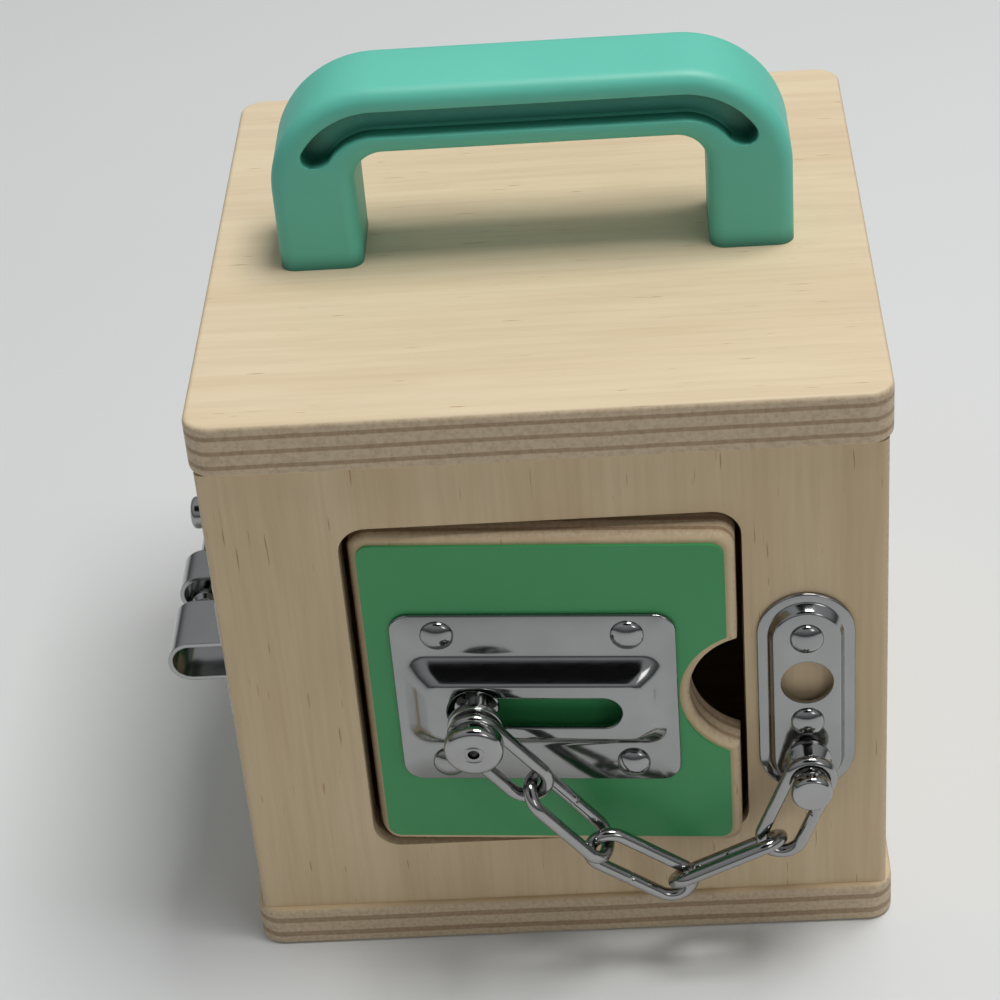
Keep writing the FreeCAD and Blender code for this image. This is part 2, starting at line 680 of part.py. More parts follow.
def nail_shape():
    """One nail along +Z: its shank, then a head whose top is a shallow dome."""
    head = size["nail_head_diameter"] / 2
    rise = size["nail_head_height"]
    rim = size["nail_head_rim"]
    dome_rise = rise - rim
    dome_radius = (head ** 2 + dome_rise ** 2) / (2 * dome_rise)
    dome_centre = rise - dome_radius
    bend = math.asin(head / dome_radius) / 2
    middle = Vec(dome_radius * math.sin(bend), 0, dome_centre + dome_radius * math.cos(bend))
    shank = size["nail_diameter"] / 2
    tip = -size["nail_length"]
    arc = Part.Arc(Vec(head, 0, rim), middle, Vec(0, 0, rise)).toShape()
    line = Part.makePolygon([Vec(0, 0, rise), Vec(0, 0, tip), Vec(shank, 0, tip + shank),
                             Vec(shank, 0, 0), Vec(head, 0, 0), Vec(head, 0, rim)])
    return Part.Face(Part.Wire(arc.Edges + line.Edges)).revolve(Vec(), Z_AXIS, 360)


def nails(name, label, spots, surface, placement=None):
    """A group of nails driven in along +Y, their heads seated on a surface that faces -Y."""
    copies = []
    for x, z in spots:
        copy = nail_shape()
        copy.Placement = aim(Vec(x, surface, z), OUT)
        copies.append(copy)
    group = doc.addObject("Part::Feature", name)
    group.Shape = Part.makeCompound(copies)
    keep(group, label, placement)


facing_front = -door_half - size["facing_thickness"]
plate_front = facing_front - size["sheet"]
nails("track_nail_group", "track_nails", track_nail_spots, plate_front, ajar)
nails("keeper_nail_group", "keeper_nails", keeper_nail_spots, keeper_face)
nails("bolt_nail_group", "bolt_plate_nails", bolt_nail_spots, plate_front, left_shut)
nails("bolt_keeper_nail_group", "bolt_keeper_nails", bolt_keeper_nail_spots,
      -half_depth - size["sheet"], left_turn)


# Track plate: stamped sheet with a raised hollow rib, a slot along it and a keyhole at its left end

def rib(spread, front, back):
    """The rib's frustum about the plate's middle, offset inwards by the spread."""
    rings = []
    for depth, shrink_x, shrink_z in ((back, 0, 0), (front, size["rib_slope_end"],
                                                     size["rib_slope_side"])):
        half_x = size["rib_length"] / 2 - shrink_x - spread
        half_z = size["rib_height"] / 2 - shrink_z - spread
        radius = half_z * size["rib_corner_share"]
        rings.append(round_plane_wire(half_x, half_z, radius, depth))
    return Part.makeLoft(rings, True, True)


def round_plane_wire(half_x, half_z, radius, depth):
    """A rectangle with round corners in the plane y = depth, about the Y axis."""
    edges = []
    corners = [(1, 1), (-1, 1), (-1, -1), (1, -1)]
    slant = radius * (1 - math.sqrt(0.5))
    for n, (x, z) in enumerate(corners):
        along = n % 2 == 0
        first = Vec(x * half_x, depth, z * (half_z - radius))
        second = Vec(x * (half_x - radius), depth, z * half_z)
        if not along:
            first, second = second, first
        middle = Vec(x * (half_x - slant), depth, z * (half_z - slant))
        edges.append(Part.Arc(first, middle, second).toShape())
    joined = []
    for n in range(4):
        joined.append(edges[n])
        end = edges[n].Curve.value(edges[n].LastParameter)
        start = edges[(n + 1) % 4].Curve.value(edges[(n + 1) % 4].FirstParameter)
        joined.append(Part.LineSegment(end, start).toShape())
    return Part.Wire(joined)


cut_past = 0.01
through = 0.5
track_middle = Vec(track_x, facing_front, track_z)
track_plain = block("track_plain",
                    track_middle + Vec(-size["track_width"] / 2, -size["sheet"],
                                       -size["track_height"] / 2),
                    "track_width", "sheet", "track_height")
track_flat = rounded("track_flat", track_plain, size["track_corner_radius"],
                     lambda edge: runs_along(edge, Y_AXIS))
rib_outer = doc.addObject("Part::Feature", "rib_outer")
rib_outer.Shape = rib(0, -size["sheet"] - size["rib_rise"], -size["sheet"] / 2)
rib_outer.Placement.Base = track_middle
rib_inner = doc.addObject("Part::Feature", "rib_inner")
rib_inner.Shape = rib(size["sheet"], -size["rib_rise"], cut_past)
rib_inner.Placement.Base = track_middle
track_raised = join("track_raised", [track_flat, rib_outer])
rib_front = facing_front - size["sheet"] - size["rib_rise"]
through_sheet = "sheet + %s" % through
slot_start = track_middle + Vec(-size["keyhole_place"], -size["sheet"] - size["rib_rise"], 0)
keyhole = rod("keyhole", slot_start, Y_AXIS, "keyhole_diameter / 2", through_sheet)
slot_round = rod("slot_round", slot_start + X_AXIS * (size["keyhole_place"] + size["slot_end"]),
                 Y_AXIS, "slot_width / 2", through_sheet)
slot_band = block("slot_band", slot_start - Z_AXIS * (size["slot_width"] / 2),
                  "keyhole_place + slot_end", through_sheet, "slot_width")
track_holes = nail_holes("track_plate_nail_hole", track_nail_spots, plate_front, "sheet")
keep(cut("track_stamped", track_raised, [rib_inner, keyhole, slot_round, slot_band]
         + track_holes), "track_plate", ajar)


# Keeper plate: a stamped stadium with a raised field, and the post riveted to its foot

def stadium_wire(width, height, depth):
    """An upright outline with half-round ends, about the Y axis."""
    half = width / 2
    straight = height / 2 - half
    top = Part.Arc(Vec(half, depth, straight), Vec(0, depth, straight + half),
                   Vec(-half, depth, straight)).toShape()
    foot = Part.Arc(Vec(-half, depth, -straight), Vec(0, depth, -straight - half),
                    Vec(half, depth, -straight)).toShape()
    left = Part.LineSegment(Vec(-half, depth, straight), Vec(-half, depth, -straight)).toShape()
    right = Part.LineSegment(Vec(half, depth, -straight), Vec(half, depth, straight)).toShape()
    return Part.Wire([top, left, foot, right])


def stadium_solid(width, height, front, back, slope):
    """A block of stadium outline, its front face smaller all round by the slope."""
    wires = [stadium_wire(width, height, back),
             stadium_wire(width - 2 * slope, height - 2 * slope, front)]
    return Part.makeLoft(wires, True, True)


def stamped(name, shape, middle):
    """A shape placed at a plate's middle, as a piece of a boolean."""
    thing = doc.addObject("Part::Feature", name)
    thing.Shape = shape
    thing.Placement.Base = middle
    return thing


keeper_middle = Vec(keeper_x, -half_depth, keeper_z)
rim = size["keeper_rim"]
steel = size["sheet"]
rise = size["keeper_rise"]
field_width = size["keeper_width"] - 2 * rim
field_height = size["keeper_height"] - 2 * rim
keeper_slope = size["keeper_slope"]
keeper_flat = stamped("keeper_flat", stadium_solid(size["keeper_width"], size["keeper_height"],
                                                   -steel, 0, 0), keeper_middle)
keeper_field = stamped("keeper_field", stadium_solid(field_width, field_height, -steel - rise,
                                                     -steel / 2, keeper_slope), keeper_middle)
keeper_hollow = stamped("keeper_hollow",
                        stadium_solid(field_width - 2 * steel, field_height - 2 * steel, -rise,
                                      cut_past, keeper_slope), keeper_middle)
keeper_raised = join("keeper_raised", [keeper_flat, keeper_field])
keeper_hole_spot = keeper_middle + Vec(0, -steel - rise, size["keeper_hole_place"])
keeper_tools = [keeper_hollow, rod("keeper_hole", keeper_hole_spot, Y_AXIS,
                                   "keeper_hole_diameter / 2", through_sheet)]
keeper_tools += nail_holes("keeper_plate_nail_hole", keeper_nail_spots, keeper_face, through_sheet)
keeper_tools.append(rod("keeper_post_hole", Vec(keeper_x, keeper_face, post_z), Y_AXIS,
                        "nail_diameter / 2 + nail_clearance", through_sheet))
keep(cut("keeper_stamped", keeper_raised, keeper_tools), "keeper_plate")


def post_edges(edge):
    """The rims of the post's head and collar."""
    radius = edge.Curve.Radius
    return radius > size["post_neck_diameter"] / 2 + 0.5


post = turned("keeper_post_body", [("nail_diameter", "post_tail_length"),
                                   ("post_collar_diameter", "post_collar_length"),
                                   ("post_neck_diameter", "post_neck_length"),
                                   ("post_head_diameter", "post_head_length")])
post_tail = size["post_tail_length"]
post = softened("keeper_post_round", post, 0.8,
                lambda edge: post_edges(edge) and edge.CenterOfMass.z > post_tail + 0.1)
keep(post, "keeper_post", aim(Vec(keeper_x, keeper_face + post_tail, post_z), OUT))


# Chain: five links whose meeting points are worked out from the post to the stud. Links 5, 3
# and 1 lie in the chain's upright plane and links 4 and 2 are turned across it.

wire_half = size["wire_diameter"] / 2
link_bend = (size["link_inner_width"] + size["wire_diameter"]) / 2
link_half = (size["link_inner_length"] - size["link_inner_width"]) / 2
end_pitch = 2 * link_half + size["link_seat"]
lying_pitch = 2 * link_half + 2 * size["link_seat"]
turned_pitch = 2 * link_half + 2 * link_bend
door_out = ajar.Rotation.multVec(OUT)
keyhole_spot = ajar.multVec(Vec(track_x - size["keyhole_place"],
                                rib_front + size["stud_behind_rib"], track_z))
post_neck_y = keeper_face - size["post_collar_length"] - size["post_neck_length"] / 2
post_centre = Vec(keeper_x, post_neck_y, post_z)
stud_to_neck = (size["stud_flange_length"] / 2 + size["stud_waist_length"]
                + size["stud_collar_length"] + size["stud_neck_length"] / 2)


def chain_points(stud_centre):
    """The links' meeting points from the post to the stud, and the normal of their plane."""
    level = stud_centre - post_centre
    level.z = 0
    level.normalize()
    across = level.cross(Z_AXIS)

    def towards(angle):
        return level * math.cos(math.radians(angle)) + Z_AXIS * math.sin(math.radians(angle))

    points = [post_centre]
    points.append(points[-1] + towards(-size["link_5_angle"]) * end_pitch)
    points.append(points[-1] + towards(-size["link_4_angle"]) * turned_pitch)
    points.append(points[-1] + towards(size["link_3_angle"]) * lying_pitch)
    reach = stud_centre - points[-1]
    span = reach.Length
    along = (span ** 2 + turned_pitch ** 2 - end_pitch ** 2) / (2 * span)
    aside = math.sqrt(max(turned_pitch ** 2 - along ** 2, 0))
    reach.normalize()
    side = reach.cross(across)
    if side.z > 0:
        side = side * -1
    points.append(points[-1] + reach * along - side * aside)
    points.append(stud_centre)
    return points, across


# The stud droops until it is square to the last link, which is found by a few turns.

stud_axis = Vec(door_out)
for turn in range(6):
    stud_centre = keyhole_spot + stud_axis * stud_to_neck
    meets, across = chain_points(stud_centre)
    pull = meets[5] - meets[4]
    pull.normalize()
    stud_axis = door_out - pull * door_out.dot(pull)
    stud_axis.normalize()


def link_shape(middle, direction, flat_normal):
    """One oval wire link along a direction, its plane square to a normal."""
    along = Vec(direction)
    along.normalize()
    normal = flat_normal - along * flat_normal.dot(along)
    normal.normalize()
    side = normal.cross(along)

    def at(forward, aside):
        return middle + along * forward + side * aside

    right = link_half + link_bend
    path = Part.Wire([Part.LineSegment(at(-link_half, link_bend), at(link_half, link_bend)).toShape(),
                      Part.Arc(at(link_half, link_bend), at(right, 0),
                               at(link_half, -link_bend)).toShape(),
                      Part.LineSegment(at(link_half, -link_bend),
                                       at(-link_half, -link_bend)).toShape(),
                      Part.Arc(at(-link_half, -link_bend), at(-right, 0),
                               at(-link_half, link_bend)).toShape()])
    ring = Part.Wire(Part.Circle(at(-link_half, link_bend), along, wire_half).toShape())
    return path.makePipeShell([ring], True, False)


link_normals = {5: OUT, 3: across, 1: stud_axis}
link_twists = {4: size["link_4_twist"], 2: size["link_2_twist"]}
for number in (5, 4, 3, 2, 1):
    first = meets[5 - number]
    last = meets[6 - number]
    direction = last - first
    direction.normalize()
    middle = (first + last) * 0.5
    if number == 5:
        middle = first + direction * link_half
    if number == 1:
        middle = last - direction * link_half
    if number in link_twists:
        normal = FreeCAD.Rotation(direction, link_twists[number]).multVec(across)
    else:
        normal = link_normals[number]
    link = doc.addObject("Part::Feature", "link_%d_wire" % number)
    link.Shape = link_shape(middle, direction, normal)
    keep(link, "chain_link_%d" % number)

stud = turned("stud_body", [("stud_flange_diameter", "stud_flange_length"),
                            ("stud_waist_diameter", "stud_waist_length"),
                            ("stud_collar_diameter", "stud_collar_length"),
                            ("stud_neck_diameter", "stud_neck_length"),
                            ("stud_head_diameter", "stud_head_length")])
stud = softened("stud_round", stud, 0.5,
                lambda edge: edge.Curve.Radius > size["stud_neck_diameter"] / 2 + 0.5)
stud_foot = keyhole_spot - stud_axis * (size["stud_flange_length"] / 2)
keep(stud, "chain_stud", aim(stud_foot, stud_axis))


# Barrel bolt on the left door, and the keeper that its rod slides into, made facing -Y and turned

def arch_wire(reach, width, start):
    """A strap's section across the bolt: straight sides and a half-round top, at x = start."""
    half = width / 2
    foot = size["sheet"] / 2
    straight = reach - half
    sides = [Vec(start, -foot, half), Vec(start, -straight, half), Vec(start, -straight, -half),
             Vec(start, -foot, -half)]
    top = Part.Arc(sides[1], Vec(start, -reach, 0), sides[2]).toShape()
    lines = [Part.LineSegment(sides[0], sides[1]).toShape(), top,
             Part.LineSegment(sides[2], sides[3]).toShape(),
             Part.LineSegment(sides[3], sides[0]).toShape()]
    return Part.Wire(lines)


def arch(start, length, inset, back):
    """A solid strap along X, or the hollow under one when it is inset by the sheet."""
    wire = arch_wire(size["bolt_arch_reach"] - inset, size["bolt_arch_width"] - 2 * inset, start)
    solid = Part.Face(wire).extrude(X_AXIS * length)
    if back:
        under = Part.makeBox(length, size["sheet"] + through, size["bolt_arch_width"] - 2 * inset,
                             Vec(start, -size["sheet"], -size["bolt_arch_width"] / 2 + inset))
        solid = solid.fuse(under)
    return solid


def strap_plate(name, start, length_cell, height_cell, arches, nail_spots, surface):
    """A stamped plate along X with straps raised from it, open beneath each strap."""
    middle = Vec(0, surface, bolt_z)
    plain = block(name + "_plain",
                  Vec(start, surface - size["sheet"], bolt_z - size[height_cell] / 2),
                  length_cell, "sheet", height_cell)
    flat = rounded(name + "_flat", plain, size["bolt_plate_corner_radius"],
                   lambda edge: runs_along(edge, Y_AXIS))
    straps = [stamped("%s_strap_%d" % (name, n), arch(begin, long, 0, False), middle)
              for n, (begin, long) in enumerate(arches)]
    hollows = [stamped("%s_hollow_%d" % (name, n), arch(begin - cut_past,
                                                        long + 2 * cut_past, size["sheet"],
                                                        True), middle)
               for n, (begin, long) in enumerate(arches)]
    holes = nail_holes(name + "_nail_hole", nail_spots, surface - size["sheet"], "sheet")
    return cut(name, join(name + "_raised", [flat] + straps), hollows + holes)


front_arch_start = bolt_plate_end - size["bolt_arch_from_end"] - size["bolt_front_arch"]
rear_arch_start = bolt_plate_start + size["bolt_rear_arch_from_end"]
bolt_plate = strap_plate("bolt_plate_stamped", bolt_plate_start, "bolt_plate_length",
                         "bolt_plate_height",
                         [(front_arch_start, size["bolt_front_arch"]),
                          (rear_arch_start, size["bolt_rear_arch"])],
                         bolt_nail_spots, facing_front)
keep(bolt_plate, "bolt_plate", left_shut)
keeper_strap = strap_plate("bolt_keeper_stamped", bolt_keeper_start, "bolt_keeper_length",
                           "bolt_keeper_height", [(bolt_keeper_start, size["bolt_keeper_length"])],
                           bolt_keeper_nail_spots, -half_depth)
keep(keeper_strap, "bolt_keeper", left_turn)

rod_drop = (size["bolt_arch_width"] / 2 - size["sheet"] - size["rod_diameter"] / 2
            - size["rod_clearance"])
rod_tip = Vec(door_reach - size["rod_tip_short_of_edge"],
              facing_front - size["rod_reach_from_wall"], bolt_z - rod_drop)
bolt_bar = rod("bolt_bar", rod_tip, X_AXIS * -1, "rod_diameter / 2", "rod_length")
bar_eased = doc.addObject("Part::Chamfer", "bolt_bar_eased")
doc.recompute()
bar_eased.Base = bolt_bar
bar_eased.Edges = [(n, 1.0, 1.0) for n, edge in enumerate(bolt_bar.Shape.Edges, start=1)
                   if edge.Curve.TypeId == "Part::GeomCircle"]
knob_spot = rod_tip - X_AXIS * size["knob_from_tip"]
knob = rod("bolt_knob", knob_spot, OUT, "knob_diameter / 2",
           "knob_reach_from_wall - rod_reach_from_wall")
knob_round = rounded("bolt_knob_round", knob, 1.2,
                     lambda edge: edge.Curve.TypeId == "Part::GeomCircle"
                     and edge.CenterOfMass.y < knob_spot.y - 1)
keep(join("bolt_rod_whole", [bar_eased, knob_round]), "bolt_rod", left_shut)


# Check every object and sub-part, then write each sub-part

doc.recompute()
failed = [thing.Name for thing in doc.Objects
          if "Invalid" in thing.State or "Error" in thing.State]
for thing in nodes:
    shape = thing.Shape
    if shape.isNull() or not shape.isValid() or not shape.Solids:
        failed.append(thing.Label)
if failed:
    raise RuntimeError("not sound: " + ", ".join(failed))

os.makedirs("parts", exist_ok=True)
for thing in nodes:
    thing.Shape.exportStep("parts/%s.step" % thing.Label)
    print("%-20s solids %d volume %.1f" % (thing.Label, len(thing.Shape.Solids),
                                           thing.Shape.Volume))
print("nodes", len(nodes))
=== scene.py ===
import math

import bmesh
import bpy
from mathutils import Matrix, Vector


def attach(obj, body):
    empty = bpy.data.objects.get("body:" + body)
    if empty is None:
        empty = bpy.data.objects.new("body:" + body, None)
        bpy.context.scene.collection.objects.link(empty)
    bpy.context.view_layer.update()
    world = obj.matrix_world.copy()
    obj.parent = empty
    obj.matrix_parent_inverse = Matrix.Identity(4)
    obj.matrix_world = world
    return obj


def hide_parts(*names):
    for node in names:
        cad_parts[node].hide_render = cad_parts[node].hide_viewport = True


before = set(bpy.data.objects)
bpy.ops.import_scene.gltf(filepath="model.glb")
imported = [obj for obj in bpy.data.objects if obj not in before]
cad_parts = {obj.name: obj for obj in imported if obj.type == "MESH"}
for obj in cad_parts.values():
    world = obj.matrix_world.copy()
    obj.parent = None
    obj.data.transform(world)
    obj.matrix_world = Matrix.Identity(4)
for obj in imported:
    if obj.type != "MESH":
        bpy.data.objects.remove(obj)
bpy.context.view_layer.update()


# Plywood panels and walls.
# The base and the top are thick birch plywood with round corners, so their plies show as pale and
# brown lines all round the edge. The walls are thinner plywood, glued and dowelled between them.

WALL_VENEERS = ((0.69, 0.545, 0.355, 1), (0.61, 0.465, 0.285, 1))
LID_VENEERS = ((0.73, 0.615, 0.435, 1), (0.67, 0.54, 0.365, 1))
PALE_PLY = (0.60, 0.48, 0.33, 1)
BROWN_PLY = (0.40, 0.285, 0.18, 1)
GRAIN_SHADE = (0.80, 0.76, 0.70, 1)
BLOTCH_SHADE = (0.90, 0.87, 0.83, 1)
FLECK_SHADE = (0.60, 0.47, 0.34, 1)
SAWN_SHADE = (0.72, 0.68, 0.62, 1)
PALE_PLY_SPREAD = 0.03
GLUE_LINE_BLUR = 0.012
PLY_WAVER = 0.07
WHITE = (1, 1, 1, 1)
BLACK = (0, 0, 0, 1)
EVENLY = (1, 1, 1)
UP = (0, 0, 1)
BACKWARDS = (0, 1, 0)
SIDEWAYS = (1, 0, 0)


def new_material(name):
    """An empty node material: itself, its tree and its shader, joined to the output."""
    material = bpy.data.materials.new(name)
    material.use_nodes = True
    tree = material.node_tree
    tree.nodes.clear()
    out = tree.nodes.new("ShaderNodeOutputMaterial")
    shader = tree.nodes.new("ShaderNodeBsdfPrincipled")
    tree.links.new(shader.outputs["BSDF"], out.inputs["Surface"])
    return material, tree, shader


def feed(tree, value, socket):
    """Join a node's output to a socket, or set the socket to a plain value."""
    if isinstance(value, bpy.types.NodeSocket):
        tree.links.new(value, socket)
    else:
        socket.default_value = value


def piece_places(tree):
    """Places on the piece in metres, which stay with it wherever it moves."""
    return tree.nodes.new("ShaderNodeTexCoord").outputs["Object"]


def drawn_out_noise():
    """A shader group: noise with its features drawn out along the axis that stretches least."""
    tree = bpy.data.node_groups.new("drawn_out_noise", "ShaderNodeTree")
    for name, kind in (("Places", "Vector"), ("Scale", "Float"), ("Stretch", "Vector"),
                       ("Detail", "Float"), ("Turn", "Vector")):
        tree.interface.new_socket(name, in_out="INPUT", socket_type="NodeSocket" + kind)
    tree.interface.new_socket("Noise", in_out="OUTPUT", socket_type="NodeSocketFloat")
    given = tree.nodes.new("NodeGroupInput")
    made = tree.nodes.new("NodeGroupOutput")
    mapping = tree.nodes.new("ShaderNodeMapping")
    texture = tree.nodes.new("ShaderNodeTexNoise")
    texture.inputs["Roughness"].default_value = 0.6
    tree.links.new(given.outputs["Places"], mapping.inputs["Vector"])
    tree.links.new(given.outputs["Stretch"], mapping.inputs["Scale"])
    tree.links.new(given.outputs["Turn"], mapping.inputs["Rotation"])
    tree.links.new(mapping.outputs["Vector"], texture.inputs["Vector"])
    tree.links.new(given.outputs["Scale"], texture.inputs["Scale"])
    tree.links.new(given.outputs["Detail"], texture.inputs["Detail"])
    tree.links.new(texture.outputs["Fac"], made.inputs["Noise"])
    return tree


noise_group = drawn_out_noise()


def noise(tree, places, scale, stretch, detail, turn=0.0):
    """The noise group placed in a material, with that material's own values."""
    node = tree.nodes.new("ShaderNodeGroup")
    node.node_tree = noise_group
    for name, value in (("Places", places), ("Scale", scale), ("Stretch", stretch),
                        ("Detail", detail), ("Turn", (0, 0, turn))):
        feed(tree, value, node.inputs[name])
    return node.outputs["Noise"]


def ramp(tree, value, *stops):
    """A colour ramp from (position, colour) stops."""
    node = tree.nodes.new("ShaderNodeValToRGB")
    while len(node.color_ramp.elements) < len(stops):
        node.color_ramp.elements.new(0.5)
    for element, (position, colour) in zip(node.color_ramp.elements, stops):
        element.position = position
        element.color = colour
    feed(tree, value, node.inputs["Fac"])
    return node.outputs["Color"]


def mixed(tree, factor, first, second, mode="MIX"):
    """Two colours mixed by a factor, each a socket or a plain value."""
    node = tree.nodes.new("ShaderNodeMix")
    node.data_type = "RGBA"
    node.blend_type = mode
    for name, value in (("Factor", factor), ("A", first), ("B", second)):
        feed(tree, value, [socket for socket in node.inputs if socket.name == name and socket.enabled][0])
    return [socket for socket in node.outputs if socket.enabled][0]


def counted(tree, operation, *values):
    """One step of arithmetic on sockets or numbers."""
    node = tree.nodes.new("ShaderNodeMath")
    node.operation = operation
    for socket, value in zip(node.inputs, values):
        feed(tree, value, socket)
    return node.outputs[0]


def along(tree, vector, direction):
    """How far a vector reaches along a direction."""
    node = tree.nodes.new("ShaderNodeVectorMath")
    node.operation = "DOT_PRODUCT"
    node.inputs[1].default_value = direction
    tree.links.new(vector, node.inputs[0])
    return node.outputs["Value"]


def relief(tree, shader, height, strength, depth):
    """Small relief on a surface, with its depth in metres."""
    bump = tree.nodes.new("ShaderNodeBump")
    bump.inputs["Strength"].default_value = strength
    bump.inputs["Distance"].default_value = depth
    tree.links.new(height, bump.inputs["Height"])
    tree.links.new(bump.outputs["Normal"], shader.inputs["Normal"])


def veneer(tree, places, axis, lines, figure, tones):
    """The face: broad figure, fine grain lines, soft blotches and a few short dark flecks."""
    dash = tuple(1 if name == axis else 14 for name in "XYZ")
    blotch = noise(tree, places, 11, EVENLY, 2)
    flecks = noise(tree, places, 95, dash, 1)
    face = mixed(tree, ramp(tree, figure, (0.34, BLACK), (0.7, WHITE)), tones[0], tones[1])
    for strength, shade in ((0.32, ramp(tree, lines, (0.36, GRAIN_SHADE), (0.60, WHITE))),
                            (0.5, ramp(tree, blotch, (0.3, BLOTCH_SHADE), (0.65, WHITE))),
                            (0.8, ramp(tree, flecks, (0.72, WHITE), (0.78, FLECK_SHADE)))):
        face = mixed(tree, strength, face, shade, "MULTIPLY")
    return face


def cut_plies(tree, places, through, start, thickness, plies, fibres):
    """A cut edge: pale and brown plies in turn, which waver a little, with sawn fibres."""
    waver = counted(tree, "SUBTRACT", noise(tree, places, 26, EVENLY, 3), 0.5)
    depth = counted(tree, "SUBTRACT", along(tree, places, through), start)
    depth = counted(tree, "DIVIDE", depth, thickness)
    depth = counted(tree, "ADD", depth, counted(tree, "MULTIPLY", waver, PLY_WAVER))
    stops = []
    for ply in range(plies):
        is_pale = ply % 2 == 0
        spread = PALE_PLY_SPREAD if is_pale else -PALE_PLY_SPREAD
        colour = PALE_PLY if is_pale else BROWN_PLY
        stops.append((max(ply / plies - spread + GLUE_LINE_BLUR, 0), colour))
        stops.append((min((ply + 1) / plies + spread - GLUE_LINE_BLUR, 1), colour))
    return mixed(tree, 0.7, ramp(tree, depth, *stops),
                 ramp(tree, fibres, (0.3, SAWN_SHADE), (0.6, WHITE)), "MULTIPLY")


def plywood(name, axis, through, start, thickness, plies, tones):
    """Veneered plywood, with grain along an axis and its plies stacked through a direction."""
    material, tree, shader = new_material(name)
    coordinates = tree.nodes.new("ShaderNodeTexCoord")
    places = coordinates.outputs["Object"]
    lines = noise(tree, places, 22, tuple(1 if part == axis else 26 for part in "XYZ"), 4)
    figure = noise(tree, places, 9, tuple(1 if part == axis else 7 for part in "XYZ"), 3)
    fibres = noise(tree, places, 900, EVENLY, 2)
    facing_out = counted(tree, "ABSOLUTE", along(tree, coordinates.outputs["Normal"], through))
    is_edge = ramp(tree, facing_out, (0.60, WHITE), (0.86, BLACK))
    face = veneer(tree, places, axis, lines, figure, tones)
    edge = cut_plies(tree, places, through, start, thickness, plies, fibres)
    tree.links.new(mixed(tree, is_edge, face, edge), shader.inputs["Base Color"])
    relief(tree, shader, counted(tree, "ADD", lines, counted(tree, "MULTIPLY", fibres, 0.4)), 0.22, 0.0002)
    tree.links.new(counted(tree, "MULTIPLY_ADD", figure, 0.14, 0.44), shader.inputs["Roughness"])
    shader.inputs["Specular IOR Level"].default_value = 0.35
    return material


def finish_node(node, material):
    """Give every material slot of a carried-over solid the new material."""
    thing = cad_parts[node]
    if not thing.material_slots:
        thing.data.materials.append(material)
    for place in thing.material_slots:
        place.material = material


def finish_in_plywood(node, axis, through, plies, tones=WALL_VENEERS):
    """Finish a solid as plywood, with its plies spread over its own thickness."""
    reach = [corner.co.dot(Vector(through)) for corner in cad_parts[node].data.vertices]
    start = min(reach)
    finish_node(node, plywood(node + "_plywood", axis, through, start, max(reach) - start, plies, tones))


finish_in_plywood("top_panel", "X", UP, 7, LID_VENEERS)
finish_in_plywood("base_panel", "X", UP, 5)
for wall, through in (("front_wall", BACKWARDS), ("back_wall", BACKWARDS),
                      ("left_wall", SIDEWAYS), ("right_wall", SIDEWAYS)):
    finish_in_plywood(wall, "Z", through, 3)


# Dowels.
# Eight beech pins hold the front and back walls in the panels. They are glued in blind holes and
# never seen.

def turned_beech():
    """Plain beech with short pores."""
    material, tree, shader = new_material("beech_dowel")
    pores = noise(tree, piece_places(tree), 60, (16, 16, 1), 2)
    tree.links.new(ramp(tree, pores, (0.3, (0.45, 0.28, 0.15, 1)), (0.6, (0.62, 0.42, 0.24, 1))),
                   shader.inputs["Base Color"])
    shader.inputs["Roughness"].default_value = 0.6
    return material


finish_node("panel_dowels", turned_beech())


# Doors.
# Each leaf is plywood with rounded rims, so its plies run round the edge. The front leaf stands
# a little ajar and has a finger notch in its free edge.

FRONT_PIVOT = Vector((-39.8, -69.7, 0.0))
AJAR = math.radians(-4.1)
door_turn = Matrix.Rotation(AJAR, 4, "Z")
door_place = Matrix.Translation(FRONT_PIVOT) @ door_turn
door_inwards = door_turn.to_3x3() @ Vector(BACKWARDS)
finish_in_plywood("front_door", "Z", tuple(door_inwards), 5)
finish_in_plywood("left_door", "Z", SIDEWAYS, 5)


# Door facings.
# A thin green laminate is glued to each leaf, set in from its rim. It has a satin face with a
# faint roll-coat texture and a few light rubs.

def green_laminate():
    """Satin green laminate."""
    material, tree, shader = new_material("green_laminate")
    places = piece_places(tree)
    cloud = noise(tree, places, 14, EVENLY, 3)
    coat = noise(tree, places, 850, EVENLY, 2)
    rubs = noise(tree, places, 60, (5, 5, 1), 4)
    tree.links.new(ramp(tree, cloud, (0.3, (0.042, 0.300, 0.098, 1)), (0.7, (0.050, 0.325, 0.110, 1))),
                   shader.inputs["Base Color"])
    relief(tree, shader, coat, 0.12, 0.0001)
    tree.links.new(counted(tree, "MULTIPLY_ADD", rubs, 0.22, 0.34), shader.inputs["Roughness"])
    return material


laminate = green_laminate()
for facing in ("front_door_facing", "left_door_facing"):
    finish_node(facing, laminate)


# Carrying handle.
# One moulded arch in soft teal plastic, with a deep round-ended groove in each face and well
# rounded edges. Two screws from under the lid hold its legs.

HANDLE_HALF = 59.3
HANDLE_FOOT = 151.0
HANDLE_TOP = 195.6
OUTER_BEND = 25.0
INNER_BEND = 7.0
LEG = 19.3
BAR = 16.3
HANDLE_HALF_DEPTH = 12.0
HANDLE_EDGE = 3.6
GROOVE_INSET = 8.4
GROOVE_HALF = 3.2
GROOVE_DEPTH = 5.0
GROOVE_LIP = 0.7
GROOVE_START = 31.6
STRAIGHT_STEPS = 12
BEND_STEPS = 36
EDGE_STEPS = 7
NEAR_GROOVE_END = 3


